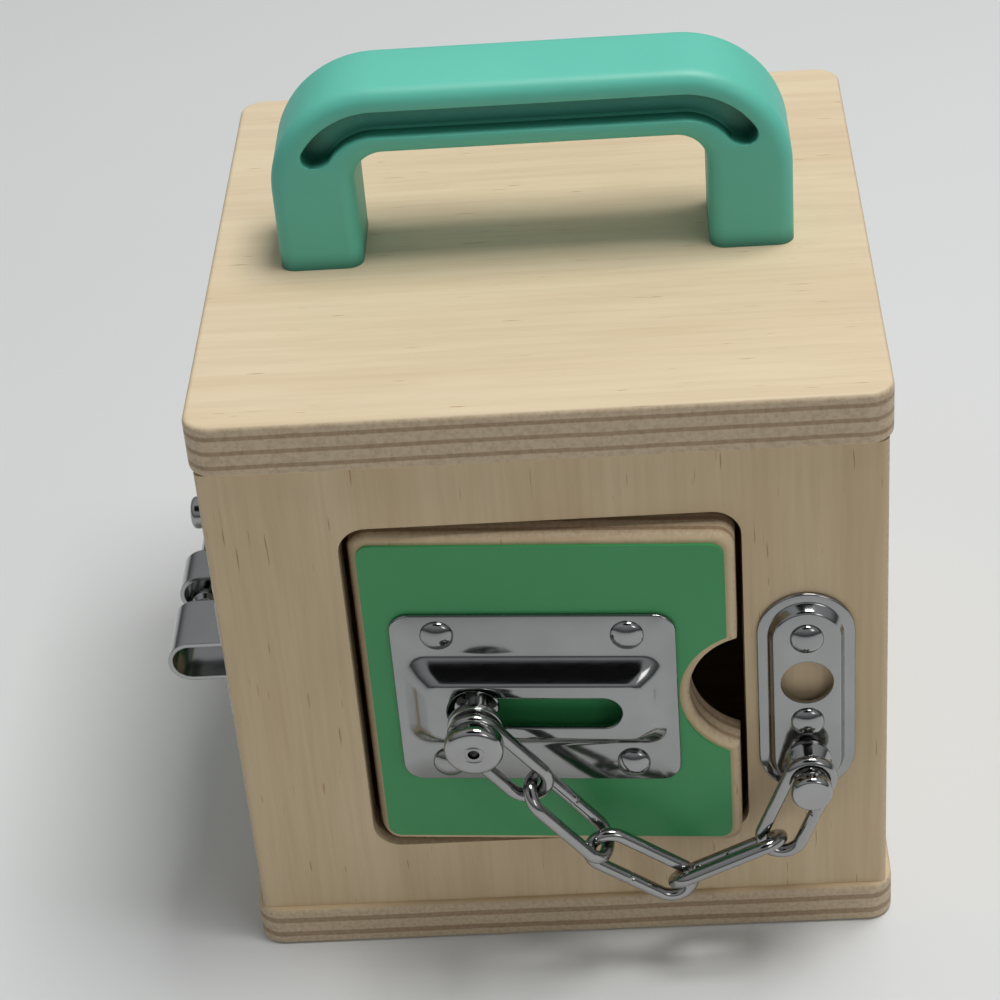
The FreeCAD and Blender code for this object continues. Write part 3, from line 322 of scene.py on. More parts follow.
def add_mesh(name, points, faces, material, smooth_angle):
    """A mesh object from points in millimetres, shaded smooth up to an angle in degrees."""
    mesh = bpy.data.meshes.new(name)
    mesh.from_pydata([(x / 1000, y / 1000, z / 1000) for x, y, z in points], [], faces)
    work = bmesh.new()
    work.from_mesh(mesh)
    bmesh.ops.remove_doubles(work, verts=work.verts, dist=1e-6)
    bmesh.ops.recalc_face_normals(work, faces=work.faces)
    work.to_mesh(mesh)
    work.free()
    mesh.shade_smooth()
    mesh.set_sharp_from_angle(angle=math.radians(smooth_angle))
    mesh.materials.append(material)
    thing = bpy.data.objects.new(name, mesh)
    bpy.context.scene.collection.objects.link(thing)
    return thing


def skin(rings, closed):
    """Quads between rings of equal length, and from the last ring to the first if closed."""
    count = len(rings[0])
    points = [point for ring in rings for point in ring]
    faces = []
    for row in range(len(rings) if closed else len(rings) - 1):
        after = (row + 1) % len(rings)
        for n in range(count):
            m = (n + 1) % count
            faces.append((row * count + n, row * count + m, after * count + m, after * count + n))
    return points, faces


def capped(rings):
    """A skin with its first and last rings closed."""
    points, faces = skin(rings, False)
    count = len(rings[0])
    return points, faces + [tuple(reversed(range(count))),
                            tuple(range(len(points) - count, len(points)))]


def on_circle(centre, radius, degrees):
    """A point on a circle, counted from its right side."""
    angle = math.radians(degrees)
    return (centre[0] + radius * math.cos(angle), centre[1] + radius * math.sin(angle))


def arch_stations():
    """Outer and inner outline points along the arch, each pair with how far the bend has turned."""
    outer_centre = (HANDLE_HALF - OUTER_BEND, HANDLE_TOP - OUTER_BEND)
    inner_centre = (HANDLE_HALF - LEG - INNER_BEND, HANDLE_TOP - BAR - INNER_BEND)
    right = []
    for n in range(STRAIGHT_STEPS + 1):
        share = n / STRAIGHT_STEPS
        right.append(((HANDLE_HALF, HANDLE_FOOT + share * (outer_centre[1] - HANDLE_FOOT)),
                      (HANDLE_HALF - LEG, HANDLE_FOOT + share * (inner_centre[1] - HANDLE_FOOT)), 0))
    for n in range(1, BEND_STEPS + 1):
        turned = 90 * n / BEND_STEPS
        right.append((on_circle(outer_centre, OUTER_BEND, turned),
                      on_circle(inner_centre, INNER_BEND, turned), turned))
    for n in range(1, STRAIGHT_STEPS + 1):
        rest = 1 - n / STRAIGHT_STEPS
        right.append(((outer_centre[0] * rest, HANDLE_TOP), (inner_centre[0] * rest, HANDLE_TOP - BAR), 90))
    left = [((-outer[0], outer[1]), (-inner[0], inner[1]), turned)
            for outer, inner, turned in reversed(right[:-1])]
    return right + left


def groove_end_reach():
    """How far round the bend the groove's half-round end goes, in degrees."""
    return math.degrees(GROOVE_HALF / (OUTER_BEND - GROOVE_INSET))


def closer_stations():
    """The arch's stations, with three more in each gap near the groove's ends."""
    reach = groove_end_reach() + NEAR_GROOVE_END
    plain = arch_stations()
    stations = []
    for first, second in zip(plain, plain[1:]):
        stations.append(first)
        if min(abs(first[2] - GROOVE_START), abs(second[2] - GROOVE_START)) >= reach:
            continue
        for share in (0.25, 0.5, 0.75):
            outer, inner = (tuple(a + (b - a) * share for a, b in zip(first[side], second[side]))
                            for side in (0, 1))
            stations.append((outer, inner, first[2] + (second[2] - first[2]) * share))
    return stations + [plain[-1]]


def groove_share(turned):
    """How wide the groove is at a station, as a share of its full width."""
    past = (turned - GROOVE_START) / groove_end_reach()
    if past > 0:
        return 1.0
    return math.sqrt(1 - past * past) if past > -1 else 0.0


def arch_section(width, groove):
    """The arch's section, from its outer side round to it again, as (inset, depth) pairs."""
    rounding = []
    for n in range(EDGE_STEPS + 1):
        inset, rise = on_circle((HANDLE_EDGE, HANDLE_HALF_DEPTH - HANDLE_EDGE), HANDLE_EDGE,
                                180 - 90 * n / EDGE_STEPS)
        rounding.append((inset, rise))
    half = GROOVE_HALF * groove
    lip = GROOVE_LIP if groove > 0 else 0.0
    fall = 1.0 if groove > 0 else 0.0
    side = [(max(half + share * lip, 0), HANDLE_HALF_DEPTH - depth * fall) for share, depth in
            ((1, 0.0), (0.3, 0.10), (0, 0.45), (-0.1, GROOVE_DEPTH - 0.6), (-0.9, GROOVE_DEPTH))]
    face = (rounding + [(GROOVE_INSET - reach, depth) for reach, depth in side]
            + [(GROOVE_INSET + reach, depth) for reach, depth in reversed(side)]
            + [(width - inset, depth) for inset, depth in reversed(rounding)])
    return face + [(inset, -depth) for inset, depth in reversed(face)]


def arch_rings():
    """The arch's sections along its stations."""
    rings = []
    for outer, inner, turned in closer_stations():
        width = math.dist(outer, inner)
        across = ((inner[0] - outer[0]) / width, (inner[1] - outer[1]) / width)
        rings.append([(outer[0] + across[0] * inset, -depth, outer[1] + across[1] * inset)
                      for inset, depth in arch_section(width, groove_share(turned))])
    return rings


def teal_moulding():
    """Satin teal plastic, with a fine moulded skin, faint scuffs and painted shade in its hollows."""
    material, tree, shader = new_material("teal_moulding")
    places = piece_places(tree)
    cloud = noise(tree, places, 20, EVENLY, 3)
    moulded_skin = noise(tree, places, 1500, EVENLY, 2)
    scuffs = noise(tree, places, 45, (1, 6, 4), 4)
    teal = ramp(tree, cloud, (0.3, (0.105, 0.500, 0.390, 1)), (0.7, (0.120, 0.535, 0.420, 1)))
    # Painted shade: an Ambient Occlusion node darkens the base colour in the groove and other hollows, where
    # shade falls on the real handle.
    shade_occlusion = tree.nodes.new("ShaderNodeAmbientOcclusion")
    shade_occlusion.samples = 8
    shade_occlusion.inputs["Distance"].default_value = 0.007
    painted_hollow_shade = ramp(tree, shade_occlusion.outputs["AO"], (0.42, (0.05, 0.20, 0.17, 1)), (0.82, WHITE))
    tree.links.new(mixed(tree, 1.0, teal, painted_hollow_shade, "MULTIPLY"), shader.inputs["Base Color"])
    relief(tree, shader, moulded_skin, 0.15, 0.00008)
    tree.links.new(counted(tree, "MULTIPLY_ADD", scuffs, 0.20, 0.36), shader.inputs["Roughness"])
    shader.inputs["Subsurface Weight"].default_value = 0.08
    shader.inputs["Subsurface Radius"].default_value = (0.002, 0.004, 0.003)
    return material


arch = add_mesh("carrying_handle", *capped(arch_rings()), teal_moulding(), 38)
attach(arch, "box")
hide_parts("handle")


# Pins and screws.
# Bright steel pivot pins are pressed into the wall over and under each door, and two screws hold
# the handle. All of them are out of sight.

def drawn_steel():
    """Bright drawn steel with fine lines along it."""
    material, tree, shader = new_material("drawn_steel")
    lines = noise(tree, piece_places(tree), 120, (18, 18, 1), 3)
    tree.links.new(ramp(tree, lines, (0.3, (0.42, 0.42, 0.41, 1)), (0.7, (0.55, 0.55, 0.54, 1))),
                   shader.inputs["Base Color"])
    tree.links.new(counted(tree, "MULTIPLY_ADD", lines, 0.15, 0.25), shader.inputs["Roughness"])
    shader.inputs["Metallic"].default_value = 1.0
    return material


bright_steel = drawn_steel()
for hidden in ("front_hinge_pins", "left_hinge_pins", "handle_screws"):
    finish_node(hidden, bright_steel)


# Track plate on the front door.
# Pressed from one sheet of steel and nickel plated: a flat rim for four nails, and a raised hollow
# rib with a long slot that widens to a keyhole at its left end.

TRACK_MIDDLE = Vector((35.7, -5.3, 74.7))
TRACK_HALF_WIDTH = 32.1
TRACK_HALF_HEIGHT = 23.85
TRACK_CORNER = 4.5
RIB_HALF_WIDTH = 29.8
RIB_HALF_HEIGHT = 12.2
RIB_NARROWING = 5.6
RIB_LOWERING = 4.5
RIB_CORNER_SHARE = 0.42
SLOT_HALF = 4.2
SLOT_END = 15.5
KEYHOLE_RADIUS = 6.2
KEYHOLE_PLACE = -13.5
SHEET = 1.0
TRACK_RISE = 6.1
TRACK_ROUND = 176


def spaced(runs, count):
    """Points spaced evenly along joined runs, each a length and a function from 0 to 1."""
    total = sum(length for length, place in runs)
    points = []
    for n in range(count):
        left = total * n / count
        for length, place in runs:
            if left < length:
                break
            left -= length
        points.append(place(left / length if length else 0))
    return points


def straight_run(start, end):
    """A straight run between two points."""
    return (math.dist(start, end), lambda share: (start[0] + (end[0] - start[0]) * share,
                                                  start[1] + (end[1] - start[1]) * share))


def bent_run(centre, radius, start, turned):
    """A run round part of a circle, from one angle through another, in degrees."""
    return (math.radians(turned) * radius, lambda share: on_circle(centre, radius, start + turned * share))


def round_outline(half_x, half_z, radius, count):
    """A rectangle with round corners, from the middle of its right side upwards."""
    flat_x = half_x - radius
    flat_z = half_z - radius
    return spaced([straight_run((half_x, 0), (half_x, flat_z)),
                   bent_run((flat_x, flat_z), radius, 0, 90),
                   straight_run((flat_x, half_z), (-flat_x, half_z)),
                   bent_run((-flat_x, flat_z), radius, 90, 90),
                   straight_run((-half_x, flat_z), (-half_x, -flat_z)),
                   bent_run((-flat_x, -flat_z), radius, 180, 90),
                   straight_run((-flat_x, -half_z), (flat_x, -half_z)),
                   bent_run((flat_x, -flat_z), radius, 270, 90),
                   straight_run((half_x, -flat_z), (half_x, 0))], count)


def keyhole_outline(wider):
    """The slot with its round right end and its larger round left end, widened by an amount."""
    half = SLOT_HALF + wider
    radius = KEYHOLE_RADIUS + wider
    meet = math.degrees(math.asin(half / radius))
    meet_x = KEYHOLE_PLACE + radius * math.cos(math.radians(meet))
    return spaced([bent_run((SLOT_END, 0), half, 0, 90),
                   straight_run((SLOT_END, half), (meet_x, half)),
                   bent_run((KEYHOLE_PLACE, 0), radius, meet, 360 - 2 * meet),
                   straight_run((meet_x, -half), (SLOT_END, -half)),
                   bent_run((SLOT_END, 0), half, 270, 90)], TRACK_ROUND)


def rim_outline(inset):
    """The plate's outer edge, drawn in by an amount."""
    return round_outline(TRACK_HALF_WIDTH - inset, TRACK_HALF_HEIGHT - inset, TRACK_CORNER - inset,
                         TRACK_ROUND)


def rib_outline(inset, climbed):
    """The rib's outline, drawn in by an amount, at a share of the climb up its slope."""
    half_z = RIB_HALF_HEIGHT - RIB_LOWERING * climbed - inset
    return round_outline(RIB_HALF_WIDTH - RIB_NARROWING * climbed - inset, half_z,
                         half_z * RIB_CORNER_SHARE, TRACK_ROUND)


def track_rings():
    """The plate's rings, from its outer edge over the front, through the slot and back behind."""
    edge = [(rim_outline(0), 0.0), (rim_outline(0), 0.62), (rim_outline(0.10), 0.86),
            (rim_outline(0.34), SHEET)]
    climb = [(rib_outline(-1.5, 0), SHEET), (rib_outline(-0.7, 0), 1.06), (rib_outline(-0.15, 0), 1.24),
             (rib_outline(0, 0.08), 1.55), (rib_outline(0, 0.5), 3.6), (rib_outline(0, 0.88), 5.55),
             (rib_outline(0.05, 0.97), 5.86), (rib_outline(0.35, 1), 6.04),
             (rib_outline(0.9, 1), TRACK_RISE)]
    slot = [(keyhole_outline(0.5), TRACK_RISE), (keyhole_outline(0.18), 6.05),
            (keyhole_outline(0), 5.85), (keyhole_outline(0), TRACK_RISE - SHEET)]
    behind = [(rib_outline(1.6, 1), TRACK_RISE - SHEET), (rib_outline(0.9, 0.9), 4.6),
              (rib_outline(0.9, 0.5), 2.6), (rib_outline(0.6, 0.05), 0.3), (rib_outline(0.2, 0), 0.0)]
    return [[(x, -height, z) for x, z in outline] for outline, height in edge + climb + slot + behind]


def placed(points, place):
    """Points moved by a matrix."""
    return [tuple(place @ Vector(point)) for point in points]


def plated(name, tone, roughness):
    """Nickel plate: a dark mirror with faint cloudiness, slight waves and fine scratches."""
    material, tree, shader = new_material(name)
    places = piece_places(tree)
    cloud = noise(tree, places, 35, EVENLY, 3)
    waves = noise(tree, places, 130, EVENLY, 2)
    scratches = noise(tree, places, 240, (1, 9, 3), 3, 0.5)
    dark = tuple(0.90 * part for part in tone) + (1,)
    bright = tuple(1.05 * part for part in tone) + (1,)
    tree.links.new(ramp(tree, cloud, (0.35, dark), (0.65, bright)), shader.inputs["Base Color"])
    relief(tree, shader, waves, 0.10, 0.00015)
    tree.links.new(counted(tree, "MULTIPLY_ADD", scratches, 0.10, roughness), shader.inputs["Roughness"])
    shader.inputs["Metallic"].default_value = 1.0
    return material


plate_nickel = plated("plate_nickel", (0.34, 0.345, 0.345), 0.07)
track_points, track_faces = skin(track_rings(), True)
track_place = door_place @ Matrix.Translation(TRACK_MIDDLE)
track = add_mesh("track_plate_pressing", placed(track_points, track_place), track_faces, plate_nickel, 50)
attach(track, "front_door")
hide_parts("track_plate")


# Nails of the track plate.
# Short nails with broad domed heads, plated like the plate that they hold, and driven through it
# into the door.

NAIL_HEAD = 3.8
NAIL_SHANK = 1.1
NAIL_RISE = 1.4
NAIL_RIM = 0.6
DOME_STEPS = 12
TRACK_NAIL_ASIDE = 21.3
TRACK_NAIL_UP = 18.55


def revolved(profile, foot, direction, count):
    """A turned solid from (radius, height) steps, standing on a point along a direction."""
    stand = Vector(UP).rotation_difference(Vector(direction)).to_matrix().to_4x4()
    rings = []
    for radius, height in profile:
        rings.append([(*on_circle((0, 0), radius, 360 * n / count), height) for n in range(count)])
    points, faces = capped(rings)
    return placed(points, Matrix.Translation(Vector(foot)) @ stand), faces


def nail_profile():
    """A nail's shank, its flat underside and its dome."""
    dome = (NAIL_HEAD ** 2 + NAIL_RISE ** 2) / (2 * NAIL_RISE)
    steps = [(0.5, -9.0), (NAIL_SHANK, -8.0), (NAIL_SHANK, -0.02), (3.62, 0.0), (NAIL_HEAD, 0.12),
             (NAIL_HEAD, 0.42)]
    for n in range(1, DOME_STEPS + 1):
        radius = NAIL_HEAD * (1 - n / (DOME_STEPS + 0.4))
        steps.append((radius, NAIL_RIM + math.sqrt(dome ** 2 - radius ** 2) - (dome - NAIL_RISE)))
    return steps


def nails_on_spots():
    """A node tree that stands the same nail on every spot, with inputs for the nail and its size."""
    tree = bpy.data.node_groups.new("nails_on_spots", "GeometryNodeTree")
    for name, kind in (("Spots", "Geometry"), ("Nail", "Object"), ("Size", "Float"), ("Finish", "Material")):
        tree.interface.new_socket(name, in_out="INPUT", socket_type="NodeSocket" + kind)
    tree.interface.new_socket("Nails", in_out="OUTPUT", socket_type="NodeSocketGeometry")
    given = tree.nodes.new("NodeGroupInput")
    made = tree.nodes.new("NodeGroupOutput")
    model = tree.nodes.new("GeometryNodeObjectInfo")
    stand = tree.nodes.new("GeometryNodeInstanceOnPoints")
    real = tree.nodes.new("GeometryNodeRealizeInstances")
    finish = tree.nodes.new("GeometryNodeSetMaterial")
    join = tree.links.new
    join(given.outputs["Nail"], model.inputs["Object"])
    join(given.outputs["Spots"], stand.inputs["Points"])
    join(model.outputs["Geometry"], stand.inputs["Instance"])
    join(given.outputs["Size"], stand.inputs["Scale"])
    join(stand.outputs["Instances"], real.inputs["Geometry"])
    join(real.outputs["Geometry"], finish.inputs["Geometry"])
    join(given.outputs["Finish"], finish.inputs["Material"])
    join(finish.outputs["Geometry"], made.inputs["Nails"])
    return tree


nail_tree = nails_on_spots()


def grow(thing, tree, settings, smooth_angle):
    """Run a node tree on an object and keep the result as its plain mesh."""
    modifier = thing.modifiers.new("grown", "NODES")
    modifier.node_group = tree
    for item in tree.interface.items_tree:
        if item.in_out == "INPUT" and item.name in settings:
            modifier[item.identifier] = settings[item.name]
    whole = thing.evaluated_get(bpy.context.evaluated_depsgraph_get())
    mesh = bpy.data.meshes.new_from_object(whole)
    thing.modifiers.clear()
    thing.data = mesh
    mesh.shade_smooth()
    mesh.set_sharp_from_angle(angle=math.radians(smooth_angle))


def nail_group(name, spots, direction):
    """All the nails of one plate as one piece."""
    nail = add_mesh(name + "_model", *revolved(nail_profile(), (0, 0, 0), direction, 40), plate_nickel, 50)
    group = add_mesh(name, [tuple(spot) for spot in spots], [], plate_nickel, 50)
    grow(group, nail_tree, {"Nail": nail, "Size": 1.0, "Finish": plate_nickel}, 50)
    bpy.data.objects.remove(nail)
    return group


track_spots = [track_place @ Vector((side * TRACK_NAIL_ASIDE, -SHEET, rise * TRACK_NAIL_UP))
               for side in (-1, 1) for rise in (-1, 1)]
track_nails = nail_group("track_plate_nails", track_spots, -door_inwards)
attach(track_nails, "front_door")
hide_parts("track_nails")


# Keeper plate on the front wall.
# A pressed steel stadium with a raised field and a round hole, held by two nails beside the door.
# The chain's post is riveted to its foot.

KEEPER_MIDDLE = Vector((56.5, -75.0, 70.4))
KEEPER_HALF_WIDTH = 11.0
KEEPER_HALF_HEIGHT = 28.5
KEEPER_RISE = 3.4
KEEPER_HOLE_UP = 5.3
KEEPER_HOLE_RADIUS = 5.9
KEEPER_NAILS_UP = (18.0, -5.9)
KEEPER_ROUND = 144
OUT = (0, -1, 0)


def stadium(inset):
    """The keeper's upright outline with half-round ends, drawn in by an amount."""
    half_width = KEEPER_HALF_WIDTH - inset
    straight = KEEPER_HALF_HEIGHT - KEEPER_HALF_WIDTH
    return spaced([straight_run((half_width, 0), (half_width, straight)),
                   bent_run((0, straight), half_width, 0, 180),
                   straight_run((-half_width, straight), (-half_width, -straight)),
                   bent_run((0, -straight), half_width, 180, 180),
                   straight_run((half_width, -straight), (half_width, 0))], KEEPER_ROUND)


def keeper_hole(wider):
    """The round hole's edge, widened by an amount."""
    return [on_circle((0, KEEPER_HOLE_UP), KEEPER_HOLE_RADIUS + wider, 360 * n / KEEPER_ROUND)
            for n in range(KEEPER_ROUND)]


def keeper_rings():
    """The keeper's rings, from its edge over the field, through the hole and back behind."""
    edge = [(stadium(0), 0.0), (stadium(0), 0.6), (stadium(0.12), 0.87), (stadium(0.4), SHEET)]
    climb = [(stadium(1.9), SHEET), (stadium(2.25), 1.10), (stadium(2.55), 1.42), (stadium(3.25), 2.85),
             (stadium(3.5), 3.22), (stadium(3.9), KEEPER_RISE)]
    hole = [(keeper_hole(0.35), KEEPER_RISE), (keeper_hole(0.1), 3.33), (keeper_hole(0), 3.1),
            (keeper_hole(0), KEEPER_RISE - SHEET)]
    behind = [(stadium(4.6), KEEPER_RISE - SHEET), (stadium(3.5), 0.0)]
    return [[(x, -height, z) for x, z in outline] for outline, height in edge + climb + hole + behind]


keeper_points, keeper_faces = skin(keeper_rings(), True)
keeper = add_mesh("keeper_plate_pressing", placed(keeper_points, Matrix.Translation(KEEPER_MIDDLE)),
                  keeper_faces, plate_nickel, 50)
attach(keeper, "box")
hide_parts("keeper_plate")
keeper_spots = [KEEPER_MIDDLE + Vector((0, -KEEPER_RISE, rise)) for rise in KEEPER_NAILS_UP]
keeper_nails = nail_group("keeper_plate_nails", keeper_spots, OUT)
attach(keeper_nails, "box")
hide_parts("keeper_nails")


# Post of the chain.
# A turned steel rivet on the keeper: a tapered collar, a neck that the end link turns on, and a
# flat round head that keeps the link from coming off.

POST_FOOT = (56.5, -78.4, 53.0)
POST_COLLAR = [(1.1, -8.0), (1.1, 0.0), (5.4, 0.0), (5.4, 0.5), (5.1, 0.9), (3.9, 3.2), (3.5, 3.6)]
POST_NECK = [(2.6, 3.62), (2.6, 9.4)]
POST_HEAD = [(4.3, 9.42), (4.6, 9.55), (4.7, 9.85), (4.7, 11.6), (4.58, 12.1), (4.25, 12.55),
             (3.9, 12.72), (3.5, 12.8), (1.0, 12.8)]
turned_nickel = plated("turned_nickel", (0.38, 0.38, 0.38), 0.06)
post = add_mesh("chain_post", *revolved(POST_COLLAR + POST_NECK + POST_HEAD, POST_FOOT, OUT, 56),
                turned_nickel, 35)
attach(post, "box")
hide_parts("keeper_post")


# Chain.
# Five long oval links of plated steel wire, each bent round and butt welded in the middle of one
# side. Link 5 hangs on the post and link 1 on the stud.

LINK_WIRE = 1.55
LINK_HALF = 8.9
LINK_BEND = 4.75
LINK_STEP = 0.28
WELD_HALF = 0.30
WELD_PINCH = 0.07
LEFT_STRAIGHT = 0.001
WIRE_ROUND = 22
BEND_POINTS = 24


def main_directions(points):
    """The middle of a cloud of points, and its long, wide and thin directions."""
    middle = sum(points, Vector()) / len(points)
    spread = [[0.0] * 3 for row in range(3)]
    for point in points:
        away = point - middle
        for row in range(3):
            for column in range(3):
                spread[row][column] += away[row] * away[column]
    matrix = Matrix(spread)
    matrix *= 1 / max(matrix[n][n] for n in range(3))

    def strongest(start, without):
        vector = Vector(start)
        for step in range(400):
            vector = matrix @ vector
            for other in without:
                vector -= other * vector.dot(other)
            vector.normalize()
        return vector

    long = strongest((0.7, 0.3, 0.6), [])
    wide = strongest((0.3, 0.8, -0.5), [long])
    return middle, long, wide, long.cross(wide)


def set_choice(node, setting, label):
    """Choose a node's mode, which is a property or a menu socket."""
    if hasattr(node, "mode"):
        node.mode = setting
    else:
        node.inputs["Mode"].default_value = label


def bent_wire():
    """A node tree that bends round wire into a long oval, pinched a little where it is welded."""
    tree = bpy.data.node_groups.new("bent_wire_link", "GeometryNodeTree")
    tree.interface.new_socket("Start", in_out="INPUT", socket_type="NodeSocketGeometry")
    for size in ("Length", "Width", "Bend", "Wire", "Step", "Weld", "Pinch"):
        tree.interface.new_socket(size, in_out="INPUT", socket_type="NodeSocketFloat")
    tree.interface.new_socket("Finish", in_out="INPUT", socket_type="NodeSocketMaterial")
    tree.interface.new_socket("Link", in_out="OUTPUT", socket_type="NodeSocketGeometry")
    given = tree.nodes.new("NodeGroupInput")
    made = tree.nodes.new("NodeGroupOutput")
    join = tree.links.new

    outline = tree.nodes.new("GeometryNodeCurvePrimitiveQuadrilateral")
    rounding = tree.nodes.new("GeometryNodeFilletCurve")
    steps = tree.nodes.new("GeometryNodeResampleCurve")
    set_choice(rounding, "POLY", "Poly")
    set_choice(steps, "LENGTH", "Length")
    rounding.inputs["Count"].default_value = BEND_POINTS
    join(given.outputs["Length"], outline.inputs["Width"])
    join(given.outputs["Width"], outline.inputs["Height"])
    join(outline.outputs["Curve"], rounding.inputs["Curve"])
    join(given.outputs["Bend"], rounding.inputs["Radius"])
    join(rounding.outputs["Curve"], steps.inputs["Curve"])
    join(given.outputs["Step"], steps.inputs["Length"])

    where = tree.nodes.new("GeometryNodeInputPosition")
    weld = tree.nodes.new("ShaderNodeCombineXYZ")
    away = tree.nodes.new("ShaderNodeVectorMath")
    away.operation = "DISTANCE"
    join(counted(tree, "MULTIPLY", given.outputs["Width"], 0.5), weld.inputs["Y"])
    join(where.outputs["Position"], away.inputs[0])
    join(weld.outputs["Vector"], away.inputs[1])
    at_weld = counted(tree, "LESS_THAN", away.outputs["Value"], given.outputs["Weld"])
    thickness = counted(tree, "SUBTRACT", 1.0,
                        counted(tree, "MULTIPLY", at_weld, given.outputs["Pinch"]))

    wire = tree.nodes.new("GeometryNodeCurvePrimitiveCircle")
    sweep = tree.nodes.new("GeometryNodeCurveToMesh")
    real = tree.nodes.new("GeometryNodeRealizeInstances")
    finish = tree.nodes.new("GeometryNodeSetMaterial")
    wire.inputs["Resolution"].default_value = WIRE_ROUND
    join(given.outputs["Wire"], wire.inputs["Radius"])
    join(steps.outputs["Curve"], sweep.inputs["Curve"])
    join(wire.outputs["Curve"], sweep.inputs["Profile Curve"])
    join(thickness, sweep.inputs["Scale"])
    join(sweep.outputs["Mesh"], real.inputs["Geometry"])
    join(real.outputs["Geometry"], finish.inputs["Geometry"])
    join(given.outputs["Finish"], finish.inputs["Material"])
    join(finish.outputs["Geometry"], made.inputs["Link"])
    return tree


chain_nickel = plated("chain_nickel", (0.36, 0.36, 0.355), 0.09)
link_tree = bent_wire()
link_sizes = {"Length": 2 * (LINK_HALF + LINK_BEND) / 1000, "Width": 2 * LINK_BEND / 1000,
              "Bend": (LINK_BEND - LEFT_STRAIGHT) / 1000, "Wire": LINK_WIRE / 1000,
              "Step": LINK_STEP / 1000, "Weld": WELD_HALF / 1000, "Pinch": WELD_PINCH,
              "Finish": chain_nickel}
for number in (1, 2, 3, 4, 5):
    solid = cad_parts["chain_link_%d" % number]
    middle, long, wide, thin = main_directions([corner.co for corner in solid.data.vertices])
    link = add_mesh("wire_link_%d" % number, [(0, 0, 0)], [], chain_nickel, 60)
    grow(link, link_tree, link_sizes, 60)
    link.data.transform(Matrix.Translation(middle) @ Matrix((long, wide, thin)).transposed().to_4x4())
    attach(link, "chain_link_%d" % number)
    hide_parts("chain_link_%d" % number)


# Stud of the chain.
# A turned spool: its inner flange is caught behind the track plate, a collar rides in front of
# the slot, the last link turns on the neck, and the round head has a small drilled centre.

STUD_NECK = Vector((-18.49, -89.54, 74.065))
STUD_NECK_ABOVE_FOOT = 10.7
STUD_TURN = math.radians(-1.35)
STUD_DROOP = math.radians(3.68)
STUD_FLANGE = [(1.0, 0.0), (4.9, 0.0), (5.2, 0.3), (5.2, 1.3), (4.9, 1.6)]
STUD_WAIST = [(2.6, 1.62), (2.6, 6.6)]
STUD_COLLAR = [(5.9, 6.62), (6.2, 6.78), (6.3, 7.05), (6.3, 8.15), (6.2, 8.42), (5.9, 8.6)]
STUD_NECK_SIDE = [(2.6, 8.62), (2.6, 12.8)]
STUD_HEAD = [(6.2, 12.82), (6.55, 13.0), (6.7, 13.4), (6.7, 15.3), (6.6, 15.9), (6.3, 16.4),
             (5.8, 16.75), (5.1, 16.93), (4.3, 17.0), (2.5, 17.0)]
STUD_DRILLING = [(2.3, 16.85), (2.1, 16.82), (1.9, 16.95), (1.65, 17.0), (1.35, 16.9), (1.2, 16.4),
                 (1.2, 14.6), (0.3, 14.4)]
stud_axis = Vector((math.sin(STUD_TURN) * math.cos(STUD_DROOP),
                    -math.cos(STUD_TURN) * math.cos(STUD_DROOP), -math.sin(STUD_DROOP)))
stud_profile = STUD_FLANGE + STUD_WAIST + STUD_COLLAR + STUD_NECK_SIDE + STUD_HEAD + STUD_DRILLING
stud_foot = STUD_NECK - stud_axis * STUD_NECK_ABOVE_FOOT
stud = add_mesh("chain_end_stud", *revolved(stud_profile, stud_foot, stud_axis, 72), turned_nickel, 35)
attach(stud, "chain_stud")
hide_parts("chain_stud")


# Barrel bolt on the left door.
# Pressed straps on a nailed plate guide a plated rod with a round knob, and a matching strap on
# the wall takes its tip.

def bolt_plating():
    """The bolt's plating, with its pressed edges softened by a small shading bevel."""
    material = plated("bolt_nickel", (0.38, 0.385, 0.385), 0.10)
    tree = material.node_tree
    soft_edge = tree.nodes.new("ShaderNodeBevel")
    soft_edge.samples = 6
    soft_edge.inputs["Radius"].default_value = 0.0004
    bump = [node for node in tree.nodes if node.bl_idname == "ShaderNodeBump"][0]
    tree.links.new(soft_edge.outputs["Normal"], bump.inputs["Normal"])
    return material


bolt_nickel = bolt_plating()
for piece in ("bolt_plate", "bolt_keeper", "bolt_rod", "bolt_plate_nails", "bolt_keeper_nails"):
    finish_node(piece, bolt_nickel)


# Floor.
# A plain pale flat floor under the box, matt, so that the box stands in its own soft shadow.

FLOOR_CORNERS = [(-4000, -3000, 0), (4000, -3000, 0), (4000, 5000, 0), (-4000, 5000, 0)]


def pale_floor():
    """Plain pale grey, matt, with a barely seen mottle."""
    material, tree, shader = new_material("pale_floor")
    mottle = noise(tree, piece_places(tree), 3, EVENLY, 2)
    tree.links.new(ramp(tree, mottle, (0.3, (0.70, 0.715, 0.72, 1)), (0.7, (0.72, 0.735, 0.74, 1))),
                   shader.inputs["Base Color"])
    shader.inputs["Roughness"].default_value = 0.7
    shader.inputs["Specular IOR Level"].default_value = 0.2
    return material


ground = add_mesh("floor", FLOOR_CORNERS, [(0, 1, 2, 3)], pale_floor(), 38)


# Light.
# A broad soft lamp overhead and a weaker one from the front. The world is bright above and darker
# low down, with one dark patch high in front, so that the plating has something to mirror.

DARK_PATCH_TOWARDS = (0.0, -0.46, 0.888)
WORLD_STRENGTH = 0.56
DISTANCE_COLOUR = (0.66, 0.68, 0.69, 1)


def area_lamp(name, place, target, width, height, power, colour):
    """A soft rectangular lamp aimed at a point."""
    lamp = bpy.data.lights.new(name, "AREA")
    lamp.shape = "RECTANGLE"
    lamp.size = width
    lamp.size_y = height
    lamp.energy = power
    lamp.color = colour
    thing = bpy.data.objects.new(name, lamp)
    thing.location = place
    thing.rotation_euler = (Vector(target) - Vector(place)).to_track_quat("-Z", "Y").to_euler()
    bpy.context.scene.collection.objects.link(thing)


